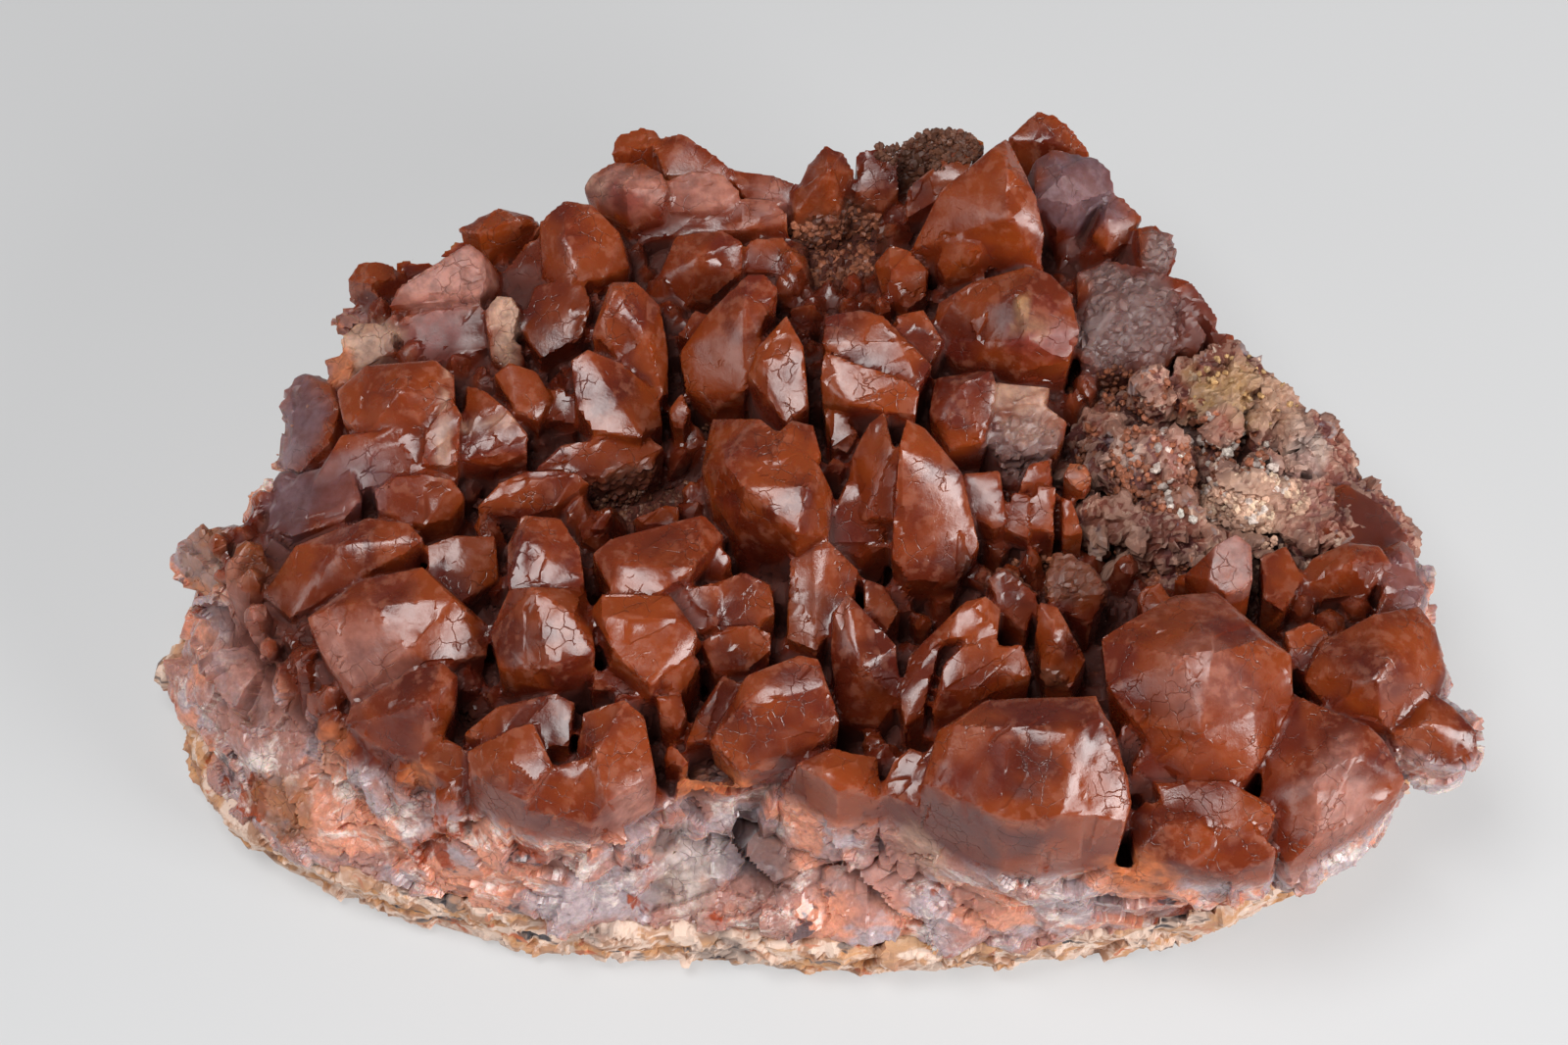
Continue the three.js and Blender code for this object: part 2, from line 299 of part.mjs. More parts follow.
    [39, -19.5, 37.8]],
  [[40, -47, 37], [49, -46.8, 38], [53.8, -50, 37.5], [54.4, -51.6, 36.8], [53.5, -54, 35],
    [48, -54, 36], [41, -50, 36.5]],
  [[47.5, -53, 36.5], [50.5, -51.8, 36.8], [54.3, -56.2, 35.3], [54, -58.3, 34], [51.3, -63, 30.5],
    [45.5, -65, 28.5], [42.5, -60, 31.5], [44, -57, 34]],
  [[39, -49.5, 36], [44.8, -51.8, 36.8], [46.8, -54.3, 36.3], [46.5, -56.5, 35], [42.5, -59.5, 32.5],
    [37.5, -57.5, 32.5], [36.5, -52, 34.5], [41, -53, 36.8]],
  [[33.5, -58.7, 30], [38, -59.2, 31.5], [42.5, -59.8, 31], [43.5, -62, 29], [38.5, -63, 28.5],
    [34, -62, 28]],
  [[58.2, -34.3, 39], [66.5, -38.8, 40.5], [64.5, -43.2, 40.5], [59.8, -46.5, 39.5], [59.3, -53, 36],
    [58.2, -60.5, 31.5], [55, -58, 31.5], [52.8, -50, 34.5], [53.5, -43, 37], [68.3, -41, 39],
    [70.6, -46.5, 35], [66.5, -54, 31.5], [61.5, -59, 30]],
  // right
  [[68.3, -22.3, 37.5], [73.8, -21.2, 35.5], [75.6, -24.2, 34.5], [76.6, -31, 32.5], [75.8, -33.5, 31.5],
    [69.5, -39.5, 31], [68.3, -38.5, 32.5], [69.8, -28.8, 38.5], [68, -32, 38], [61.5, -26.5, 36],
    [59, -32, 34], [62, -36.5, 33]],
  [[74.5, -33.6, 32], [77, -36, 31.5], [79.6, -39.5, 30.5], [79, -42.5, 29], [76.5, -44.5, 28],
    [70.5, -41.5, 30], [69.2, -39.8, 31.5], [74, -38.5, 33]],
  [[57, -24.8, 36], [60, -23.4, 36.5], [62.5, -25, 35.5], [62, -28.5, 34], [59, -31.5, 33], [57.5, -29, 34]],
  [[61, -14, 33], [65.5, -11.5, 34.5], [69.5, -12, 34], [71, -15, 32.5], [68, -19, 31], [62, -20.5, 30.5],
    [58, -19, 31], [66, -14.5, 35.5]],
  [[70.3, -14.5, 32], [73, -14.3, 31], [74.8, -18.5, 29.5], [74, -21, 29], [68.3, -22.8, 30.5],
    [70, -18, 32]],
  [[61, -4, 30], [66, -2.5, 29], [70.5, -6, 28.5], [73.5, -11, 28.5], [71, -13, 30], [62, -10, 31]],
  [[54.5, -13.5, 35], [58, -12, 34], [60, -17, 32.5], [57, -22, 33], [54.5, -20, 34]],
];

// A crystal that stands by itself on the bare rock.
const LONE_CRYSTAL = [
  [51.6, -10.2, 42], [53.5, -12, 41.5], [53.4, -17, 39.8], [52.3, -18.6, 39], [50, -19.5, 38.4],
  [47.9, -17.2, 39], [49, -12, 41], [45, -16.5, 36.5], [47, -19, 36],
];

// Broken pieces of quartz and rock grown into the crust, by their corners in the same way.
const BROKEN_PIECES = [
  [[-46, 36, 40], [-43.8, 34, 39], [-43.5, 30, 38], [-44, 27, 36.5], [-50, 27.5, 36.5],
    [-53.5, 27.5, 35.5], [-55.8, 25.5, 34.5], [-55, 28.5, 36], [-52, 31, 37.5], [-50, 32.5, 38],
    [-48, 33, 39]],
  [[-54, 24, 34.5], [-44, 26, 36], [-43, 19, 33], [-46, 17, 31.5], [-50, 16.5, 31.5], [-54.5, 21, 32.5]],
  [[-43.5, 25, 37.5], [-42, 27.3, 37.5], [-40, 27, 37.5], [-39, 25.3, 37], [-39.5, 21, 35],
    [-41, 16, 33], [-42.3, 17, 33.3], [-43, 22, 35.5]],
  [[-62, 20.5, 31.5], [-60, 22.8, 32], [-57.5, 23, 32.5], [-55.5, 21, 32.5], [-55, 18, 31.5],
    [-59, 15.5, 30], [-61.5, 18, 30.5]],
  [[-63.7, 17, 29.5], [-61.5, 18, 30.5], [-60.3, 16, 30.5], [-60.5, 13.5, 29.5], [-62.8, 12.5, 28.8]],
  [[-31.3, 45, 36], [-30.5, 47, 37], [-27.5, 49.3, 38.5], [-23.5, 49.3, 39.5], [-21, 47.5, 40],
    [-20, 45, 39.5], [-21, 40, 36.5], [-25, 37.8, 34.5], [-29.5, 41, 34.5], [-26, 45, 41]],
  [[-20, 46.5, 39], [-16.5, 48.3, 39], [-13, 47.5, 38.5], [-10.6, 44.5, 37.5], [-13, 42, 36.5],
    [-17, 40.5, 35.5], [-20.3, 41, 36]],
  [[10, 52, 35], [14, 54.5, 37], [18.7, 55.3, 37.5], [20.5, 54, 37], [22, 53, 36.5], [20, 50, 35],
    [12, 49, 34]],
  [[33, 31, 37], [38, 33, 36.5], [44, 30.5, 36], [48, 29.5, 35], [49.5, 26, 33], [46, 20, 32],
    [44, 15.5, 30.5], [37, 14.5, 31.5], [33, 17, 34], [38, 26, 38]],
  [[22.4, 13.3, 39.5], [29, 12.5, 39], [28, 10, 38], [22.5, 9.3, 38.5]],
  [[22.3, 9.3, 38], [28, 10, 37.5], [31, 7, 35.5], [29.5, 3, 34.5], [23, 1.2, 34.5], [20.5, 4.5, 36]],
  [[30.3, -1.2, 35.5], [31.3, 0.8, 36], [33, 0.6, 36], [34, -1.5, 35.5], [33, -3.8, 34.5],
    [31.8, -3.3, 34.8]],
];

// Larger pieces of the bare rock, by their corners in the same way.
const ROCK_PIECES = [
  [[62.3, 0.7, 29], [65.1, -0.5, 27.5], [68, -1.7, 26], [71.3, -5.6, 24], [74.3, -9.4, 22],
    [73.9, -13.9, 23], [68.9, -13.1, 27], [65.8, -11.6, 30], [60.6, -12, 30.5], [56.8, -10, 30],
    [61, -4.1, 31]],
  [[52.8, 20.3, 33], [54.3, 19, 32.5], [56.5, 15.3, 31], [56, 12.1, 31], [52.7, 12.9, 33], [51.6, 17, 34]],
  [[56.8, 15.2, 31], [59.3, 12.2, 30], [61.6, 9, 28.5], [59, 7.2, 30.5], [55.9, 10.4, 32]],
  [[60.4, 9.2, 30], [64.3, 7.2, 28], [66.7, 3.5, 26.5], [67.4, 0.3, 26], [63.8, -0.9, 29],
    [61.4, 3.1, 31.5], [59.3, 6.4, 32]],
  [[44.9, 15.3, 33], [47, 17.1, 34], [51.6, 17.8, 34.5], [54.9, 16.1, 33.5], [54.9, 10.4, 32],
    [51.2, 8.4, 32.5], [47.3, 9.2, 32.5], [44.9, 11.2, 32]],
  [[48.3, 8.4, 33.5], [51.3, 9.2, 34], [53.1, 7.6, 33.5], [52.7, 4.3, 32], [49, 3.8, 31.5]],
  [[53.6, 1.4, 33], [54.9, 2.5, 33.5], [57.1, 2.2, 33], [57.5, 0.7, 32], [56, -0.2, 31.5], [53.9, -0.1, 32]],
  [[49.3, -4.1, 31], [51.4, -1.7, 33], [55.3, -0.9, 33.5], [59.2, -2.5, 32], [60, -5.6, 30.5],
    [56.9, -8.8, 30], [52.4, -7.6, 30.5]],
  [[35.6, 1.5, 34], [38.7, 6, 35], [42.6, 6.4, 35.5], [46.4, 3.9, 34], [46.8, -1.7, 32],
    [42.8, -5.6, 31], [37.7, -4.1, 32]],
  [[39.9, 13.7, 34], [42.3, 15.7, 35], [44.3, 14.9, 35], [44.8, 11.2, 33.5], [41.5, 10.4, 33]],
  [[32.5, -4.1, 32.5], [38.3, -4.9, 34], [39.4, -8.8, 32.5], [34.8, -11.2, 31], [31.7, -8.8, 31.5]],
  [[38.5, -6.4, 33.5], [46.1, -4.1, 33], [46.9, -8, 32], [43.8, -12, 31], [39, -12, 31]],
  [[59.8, -1.7, 30], [63.1, -2.1, 29.5], [63.5, -5.6, 29], [60.1, -8.8, 29.5], [58, -5.6, 31]],
];

const QUARTZ_RED = "#8a3c22";
const ROCK_OCHRE = "#a27e62";
const QUARTZ_ROUGHNESS = 0.3;
const ROCK_ROUGHNESS = 0.85;

function seededNoise(seed) {
  let state = seed >>> 0;
  return () => {
    state = (state * 1664525 + 1013904223) >>> 0;
    return (state / 4294967296) * 2 - 1;
  };
}

function toSolid(geometry) {
  geometry.deleteAttribute("normal");
  geometry.deleteAttribute("uv");
  const merged = BufferGeometryUtils.mergeVertices(geometry, 1e-4);
  const mesh = new wasm.Mesh({
    numProp: 3,
    vertProperties: Float32Array.from(merged.attributes.position.array),
    triVerts: Uint32Array.from(merged.index.array),
  });
  return new wasm.Manifold(mesh);
}

function meshSolid(points, triangles) {
  const geometry = new THREE.BufferGeometry();
  geometry.setAttribute("position", new THREE.Float32BufferAttribute(points.flat(), 3));
  geometry.setIndex(triangles.flat());
  return toSolid(geometry);
}

// The point at the given height on the line of sight through a place as seen.
function alongSight([seenX, seenY], height) {
  const place = new THREE.Vector3(seenX, seenY, SIGHT_PLANE);
  const share = (height - VIEWPOINT.z) / (SIGHT_PLANE - VIEWPOINT.z);
  return VIEWPOINT.clone().lerp(place, share);
}

// Distance from the middle to an outline in a direction, by the nearest crossed edge.
function outlineReach(outline, angle) {
  const dx = Math.cos(angle);
  const dy = Math.sin(angle);
  let reach = 0;
  for (let i = 0; i < outline.length; i += 1) {
    const [ax, ay] = outline[i];
    const [bx, by] = outline[(i + 1) % outline.length];
    const ex = bx - ax;
    const ey = by - ay;
    const across = dx * ey - dy * ex;
    if (Math.abs(across) < 1e-9) {
      continue;
    }
    const along = (ax * ey - ay * ex) / across;
    const share = (ax * dy - ay * dx) / across;
    if (along > 0 && share >= 0 && share <= 1) {
      reach = Math.max(reach, along);
    }
  }
  return reach;
}

// How far out a place lies: 0 in the middle, 1 at the rim.
function shareOfRim({ x, y }) {
  return Math.hypot(x, y) / outlineReach(RIM_OUTLINE, Math.atan2(y, x));
}

function floorHeight(x, y) {
  return CRUST_FLOOR + CRUST_SLOPE * y;
}

function rockHeight(x, y) {
  return ROCK_TOP + ROCK_WAVE * Math.sin(x * 0.09 + 1.3) * Math.cos(y * 0.08 - 0.4);
}

function joinRings(rings) {
  const points = rings.flat();
  const triangles = [];
  const count = rings[0].length;
  for (let ring = 0; ring + 1 < rings.length; ring += 1) {
    for (let i = 0; i < count; i += 1) {
      const a = ring * count + i;
      const b = ring * count + ((i + 1) % count);
      triangles.push([a, b, b + count], [a, b + count, a + count]);
    }
  }
  return { points, triangles, count };
}

function closeRings({ points, triangles, count }, bottom, top) {
  const last = points.length - count;
  points.push(bottom, top);
  for (let i = 0; i < count; i += 1) {
    const next = (i + 1) % count;
    triangles.push([next, i, points.length - 2]);
    triangles.push([last + i, last + next, points.length - 1]);
  }
  return meshSolid(points, triangles);
}

function wallReach(angle, toRim) {
  const foot = outlineReach(FOOT_OUTLINE, angle);
  const rim = outlineReach(RIM_OUTLINE, angle);
  return THREE.MathUtils.lerp(foot, rim, toRim);
}

// The whole piece without its crystals: wall rings from the flat resting face to the rim,
// then the rough floor between the crystals.
function makeBody() {
  const noise = seededNoise(11);
  const rings = WALL_LEVELS.map(({ z, toRim, inset }) => {
    const ring = [];
    for (let i = 0; i < OUTLINE_STEPS; i += 1) {
      const angle = (i / OUTLINE_STEPS) * Math.PI * 2;
      const reach = wallReach(angle, toRim) - inset + WALL_ROUGHNESS * noise();
      const height = z === 0 ? 0 : z + noise();
      ring.push([reach * Math.cos(angle), reach * Math.sin(angle), height]);
    }
    return ring;
  });
  rings.push(...[1, RIM_SHARE].map((share) => {
    const ring = [];
    for (let i = 0; i < OUTLINE_STEPS; i += 1) {
      const angle = (i / OUTLINE_STEPS) * Math.PI * 2;
      const reach = wallReach(angle, 1) * share + noise();
      const x = reach * Math.cos(angle);
      const y = reach * Math.sin(angle);
      const drop = share === 1 ? RIM_DROP + WALL_ROUGHNESS * noise() : 0;
      ring.push([x, y, floorHeight(x, y) - drop]);
    }
    return ring;
  }));
  return closeRings(joinRings(rings), [0, 0, 0], [0, 0, floorHeight(0, 0)]);
}

// The space the crystals may fill: it ends at the broken wall and is wider elsewhere.
function makeBreakSpace() {
  const noise = seededNoise(29);
  const levels = [...WALL_LEVELS, { z: BREAK_RIM, toRim: 1 }, { z: BREAK_TOP, toRim: 1 }];
  const rings = levels.map(({ z, toRim }) => {
    const ring = [];
    for (let i = 0; i < BREAK_STEPS; i += 1) {
      const degrees = (i / BREAK_STEPS) * 360;
      const angle = THREE.MathUtils.degToRad(degrees);
      const broken = degrees > BREAK_FROM_DEGREES && degrees < BREAK_TO_DEGREES;
      const wall = wallReach(angle, toRim) + (broken ? 0 : FREE_OVERHANG);
      const reach = z < BREAK_RIM ? wall : outlineReach(BREAK_OUTLINE, angle) + 0.5 * noise();
      ring.push([reach * Math.cos(angle), reach * Math.sin(angle), z]);
    }
    return ring;
  });
  return closeRings(joinRings(rings), [0, 0, 0], [0, 0, BREAK_TOP]);
}

// Everything below the top of the host rock, raised by grow.
function makeRockSpace(grow) {
  const steps = ROCK_HALF_SIZE / ROCK_STEP;
  const side = 2 * steps + 1;
  const points = [];
  for (let j = -steps; j <= steps; j += 1) {
    for (let i = -steps; i <= steps; i += 1) {
      const x = i * ROCK_STEP;
      const y = j * ROCK_STEP;
      points.push([x, y, rockHeight(x, y) + grow]);
    }
  }
  const below = points.length;
  points.push(...points.map(([x, y]) => [x, y, ROCK_BOTTOM]));
  const triangles = [];
  const addQuad = (a, b, c, d) => triangles.push([a, b, c], [a, c, d]);
  for (let j = 0; j + 1 < side; j += 1) {
    for (let i = 0; i + 1 < side; i += 1) {
      const a = j * side + i;
      const d = a + side;
      addQuad(a, a + 1, d + 1, d);
      addQuad(below + d, below + d + 1, below + a + 1, below + a);
    }
  }
  for (let i = 0; i + 1 < side; i += 1) {
    const front = i;
    const back = (side - 1) * side + i;
    const left = i * side;
    const right = left + side - 1;
    addQuad(below + front, below + front + 1, front + 1, front);
    addQuad(back, back + 1, below + back + 1, below + back);
    addQuad(left, left + side, below + left + side, below + left);
    addQuad(below + right, below + right + side, right + side, right);
  }
  return meshSolid(points, triangles);
}

// The mound of host rock that comes up through the crust.
function makeMound(grow) {
  const noise = seededNoise(7);
  const pulls = Array.from({ length: MOUND.steps }, () => 1 + 0.12 * noise());
  const ringAt = (height, spread) => pulls.map((pull, i) => {
    const angle = (i / MOUND.steps) * Math.PI * 2;
    const x = MOUND.x + (MOUND.wide * pull + spread + grow) * Math.cos(angle);
    const y = MOUND.y + (MOUND.deep * pull + spread + grow) * Math.sin(angle);
    return [x, y, height ?? floorHeight(x, y) + grow];
  });
  const top = [MOUND.x, MOUND.y, floorHeight(MOUND.x, MOUND.y) + MOUND.rise + grow];
  return closeRings(joinRings([ringAt(0, MOUND.spread), ringAt(null, 0)]), [MOUND.x, MOUND.y, 0], top);
}

// One crystal or broken piece: its corners, its near sides drawn in a little on their way
// down and its far side sloping back. grow moves every corner away from the middle.
function makeCrystal(corners, grow = 0) {
  const tops = corners.map(([x, y, height]) => alongSight([x, y], height));
  const middle = tops.reduce((sum, point) => sum.add(point), new THREE.Vector3());
  middle.divideScalar(tops.length);
  const near = tops.map((point) => middle.clone().lerp(point, ROOT_TAPER));
  const far = corners.map((corner, i) => near[i].clone().lerp(alongSight(corner, ROOT_LEVEL), BACK_SLOPE));
  const outline = [...tops, ...near.map(rootOf), ...far.map(rootOf)].map((point) => {
    const away = point.clone().sub(middle);
    return away.setLength(away.length() + grow).add(middle);
  });
  return toSolid(new ConvexGeometry(outline)).asOriginal();
}

function rootOf(point) {
  const share = point.y > 0 ? Math.min(1, ROOT_REACH / shareOfRim(point)) : 1;
  return new THREE.Vector3(point.x * share, point.y * share, ROOT_LEVEL);
}

// One angular stone around a place.
function makeStone(place, size, noise, grow) {
  const corners = Array.from({ length: RUBBLE.corners }, () => {
    const away = new THREE.Vector3(noise(), noise(), noise());
    return away.setLength(size * (1 + 0.2 * noise()) + grow).add(place);
  });
  return toSolid(new ConvexGeometry(corners)).asOriginal();
}

function makeRubble(grow) {
  const noise = seededNoise(RUBBLE.seed);
  const stones = Array.from({ length: RUBBLE.stones }, () => {
    const angle = Math.PI * noise();
    const reach = RUBBLE.reach * Math.sqrt(Math.abs(noise()));
    const x = MOUND.x + reach * MOUND.wide * Math.cos(angle);
    const y = MOUND.y + reach * MOUND.deep * Math.sin(angle);
    const size = THREE.MathUtils.lerp(RUBBLE.smallest, RUBBLE.largest, Math.abs(noise()));
    const place = new THREE.Vector3(x, y, floorHeight(x, y) + MOUND.rise * (1 - reach));
    return { place, stone: makeStone(place, size, noise, grow) };
  });
  return stones.filter(({ place }) => shareOfRim(place) < ROOT_REACH).map(({ stone }) => stone);
}

function join(solids) {
  return solids.reduce((whole, solid) => whole.add(solid));
}

function largestPiece(solid) {
  const pieces = solid.decompose();
  return pieces.reduce((best, piece) => (piece.volume() > best.volume() ? piece : best));
}

// Whether every edge still joins just two faces once near-equal corners are taken as one.
function edgesPair(solid) {
  const { numProp, vertProperties, triVerts } = solid.getMesh();
  const places = new Map();
  const placeOf = [];
  for (let i = 0; i < vertProperties.length; i += numProp) {
    const key = [0, 1, 2].map((k) => Math.round(vertProperties[i + k] / SAME_PLACE)).join();
    if (!places.has(key)) {
      places.set(key, places.size);
    }
    placeOf.push(places.get(key));
  }
  const faces = new Map();
  for (let i = 0; i < triVerts.length; i += 3) {
    const corners = [0, 1, 2].map((k) => placeOf[triVerts[i + k]]);
    if (new Set(corners).size < 3) {
      continue;
    }
    corners.forEach((a, k) => {
      const b = corners[(k + 1) % 3];
      const key = Math.min(a, b) + "_" + Math.max(a, b);
      faces.set(key, (faces.get(key) ?? 0) + 1);
    });
  }
  return [...faces.values()].every((count) => count === 2);
}

function coarsest(solid) {
  const copies = SIMPLER_BY.map((by) => () => largestPiece(solid.simplify(by)));
  for (const make of copies) {
    const copy = make();
    if (edgesPair(copy)) {
      return copy;
    }
  }
  return largestPiece(solid);
}

// The bare rock that stands up through the crust.
function outcrop(grow) {
  const pieces = ROCK_PIECES.map((corners) => makeCrystal(corners, grow));
  return [makeRockSpace(grow), makeMound(grow), ...pieces, ...makeRubble(grow)];
}

function makeMatrix(body) {
  const [bed, mound, ...stones] = outcrop(0);
  return largestPiece(join([body.intersect(bed.add(mound)), ...stones]));
}

function makeCrust(body, clearance) {
  const crystals = join(CRYSTALS.map((crystal) => makeCrystal(crystal)));
  const broken = BROKEN_PIECES.map((corners) => makeCrystal(corners));
  const grown = join([body, crystals.intersect(makeBreakSpace()), ...broken]);
  return largestPiece(grown.subtract(clearance).subtract(makeCrystal(LONE_CRYSTAL, LONE_CLEARANCE)));
}

function makeLoneCrystal(clearance) {
  return largestPiece(makeCrystal(LONE_CRYSTAL).subtract(clearance));
}

function toMesh(solid, name, color, roughness) {
  const tidy = coarsest(solid.asOriginal());
  const { numProp, vertProperties, triVerts } = tidy.getMesh();
  const points = [];
  for (let i = 0; i < vertProperties.length; i += numProp) {
    points.push(vertProperties[i], vertProperties[i + 1], vertProperties[i + 2]);
  }
  const geometry = new THREE.BufferGeometry();
  geometry.setAttribute("position", new THREE.Float32BufferAttribute(points, 3));
  geometry.setIndex(Array.from(triVerts));
  const flat = geometry.toNonIndexed();
  flat.computeVertexNormals();
  const material = new THREE.MeshStandardMaterial({ color, roughness, metalness: 0 });
  const mesh = new THREE.Mesh(flat, material);
  mesh.name = name;
  return mesh;
}

// Puts the origin at the middle of the bounding box, on the resting face.
function centre(group) {
  const box = new THREE.Box3().setFromObject(group);
  const middle = box.getCenter(new THREE.Vector3());
  for (const mesh of group.children) {
    mesh.geometry.translate(-middle.x, -middle.y, -box.min.z);
  }
}

function buildSpecimen() {
  const body = makeBody();
  const clearance = join(outcrop(GAP));
  const specimen = new THREE.Group();
  specimen.name = "hematoid_quartz_on_matrix";
  specimen.add(
    toMesh(makeMatrix(body), "matrix", ROCK_OCHRE, ROCK_ROUGHNESS),
    toMesh(makeCrust(body, clearance), "quartz_crystals", QUARTZ_RED, QUARTZ_ROUGHNESS),
    toMesh(makeLoneCrystal(clearance), "lone_crystal", QUARTZ_RED, QUARTZ_ROUGHNESS),
  );
  centre(specimen);
  return specimen;
}

export default buildSpecimen();
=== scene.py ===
"""Hematoid quartz on matrix. The shapes are worked in millimetres and placed in metres."""
import math

import bmesh
import bpy
import numpy as np
from mathutils import Euler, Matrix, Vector
from mathutils.bvhtree import BVHTree


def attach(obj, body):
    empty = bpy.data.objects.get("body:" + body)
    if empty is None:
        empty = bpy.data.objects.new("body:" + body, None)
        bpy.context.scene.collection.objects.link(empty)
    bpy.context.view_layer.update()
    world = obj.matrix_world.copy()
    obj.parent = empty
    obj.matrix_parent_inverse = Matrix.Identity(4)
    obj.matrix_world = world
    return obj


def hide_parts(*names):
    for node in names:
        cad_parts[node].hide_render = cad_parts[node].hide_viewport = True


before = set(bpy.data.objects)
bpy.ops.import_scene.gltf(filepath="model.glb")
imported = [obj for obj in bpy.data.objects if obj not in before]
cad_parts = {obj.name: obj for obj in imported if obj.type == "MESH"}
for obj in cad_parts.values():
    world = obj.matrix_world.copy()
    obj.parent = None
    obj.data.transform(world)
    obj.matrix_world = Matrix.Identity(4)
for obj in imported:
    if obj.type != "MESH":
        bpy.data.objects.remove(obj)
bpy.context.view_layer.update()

MM = 1000.0

# The camera, and the shift from the places as seen on the level plane at 40 mm.
EYE = np.array([-3.668, -404.156, 603.4])
ELEVATION = math.radians(55)
LENS = 126.0
SEEN_LEVEL = 40.0
SEEN_SHIFT = np.array([1.232, -1.156])

# Plan of the wall's rim, as the crystals' outer limit.
RIM = np.array([
    [-79, -6], [-78, -16], [-72, -24], [-65, -32], [-58, -38], [-48, -43], [-40, -46], [-30, -49],
    [-20, -45], [-14, -38], [-5, -38.5], [4, -44], [14, -47], [22, -52.5], [32, -51.5], [42, -52],
    [52, -50], [62, -43], [71, -35], [75, -27], [77, -15], [77.5, -4], [74, 4.5], [69, 13],
    [63.5, 19.5], [58, 26], [53, 32], [46, 40], [38, 48], [31, 54], [23, 55.5], [13, 53], [3, 50],
    [-6, 47], [-16, 51], [-24, 53.5], [-32, 47], [-41, 44], [-50, 41], [-58, 37], [-64, 28],
    [-67, 14], [-70, 6], [-77, 0],
]) + SEEN_SHIFT

# Crumbs lying between the crystals: as seen u, v, half width, half depth, how many, size, tint,
# and how far above the crust's ground they may lie.
WIDE_SCATTER = 600
CRUMB_ZONES = [
    (2, 37, 6, 9, 460, 0.7, "rubble", 5), (-23, -4, 7, 5, 320, 0.5, "earth", 3),
    (30, -14, 12, 3.5, 380, 0.6, "rubble", 2.5), (28, -32, 3, 3, 60, 0.5, "earth", 2.5),
    (-44, -39, 3, 2.6, 70, 0.5, "earth", 3), (14, 51.5, 7, 3.5, 320, 0.55, "earth", 12),
    (54, -5, 7, 4.5, 420, 0.75, "cream", 40), (56.5, -17, 2.4, 6, 160, 0.55, "cream", 5),
    (44, 2, 12, 9, 520, 0.6, "rubble", 40), (54, 12, 7, 6, 90, 0.5, "ochre", 40),
    (38, 12, 7, 4, 160, 0.6, "rubble", 40), (-15, 8, 3, 5, 60, 0.45, "earth", 3),
    (40, -16, 6, 3, 160, 0.5, "rubble", 2.5), (50, 0, 9, 9, 160, 0.8, "white", 40),
    (-9, 5, 70, 55, 700, 0.28, "veil", 2.5),
]

VOXEL = 0.42
CRUST_TRIANGLES = 196000
ROCK_TRIANGLES = 150000
CRISP_EDGE = math.radians(24)
LONE_TRIANGLES = 12000
BAND_TOP = 9.5
FLOOR_LEVEL = 26.0
FLOOR_SLOPE = 0.045
CRUMB_LEVEL = 18.0
SHADE_DEPTH = 10.0

# Small crystals that stand in the gaps between the large ones.
INFILL = {"tries": 9000, "apart": 1.8, "thin": 1.2, "thick": 2.6, "low": 2.6, "high": 8.5, "foot": -6.0}

# Tints by name, linear.
TINTS = {
    "pink": (0.50, 0.22, 0.17),
    "veil": (0.42, 0.20, 0.15),
    "white": (0.62, 0.50, 0.44),
    "cream": (0.66, 0.40, 0.28),
    "orange": (0.62, 0.17, 0.05),
    "amber": (0.34, 0.12, 0.03),
    "crimson": (0.20, 0.015, 0.012),
    "maroon": (0.10, 0.018, 0.014),
    "lilac": (0.20, 0.13, 0.15),
    "grey": (0.22, 0.155, 0.145),
    "ochre": (0.50, 0.30, 0.13),
    "earth": (0.13, 0.048, 0.024),
    "rubble": (0.28, 0.090, 0.042),
    "smoke": (0.045, 0.028, 0.03),
}

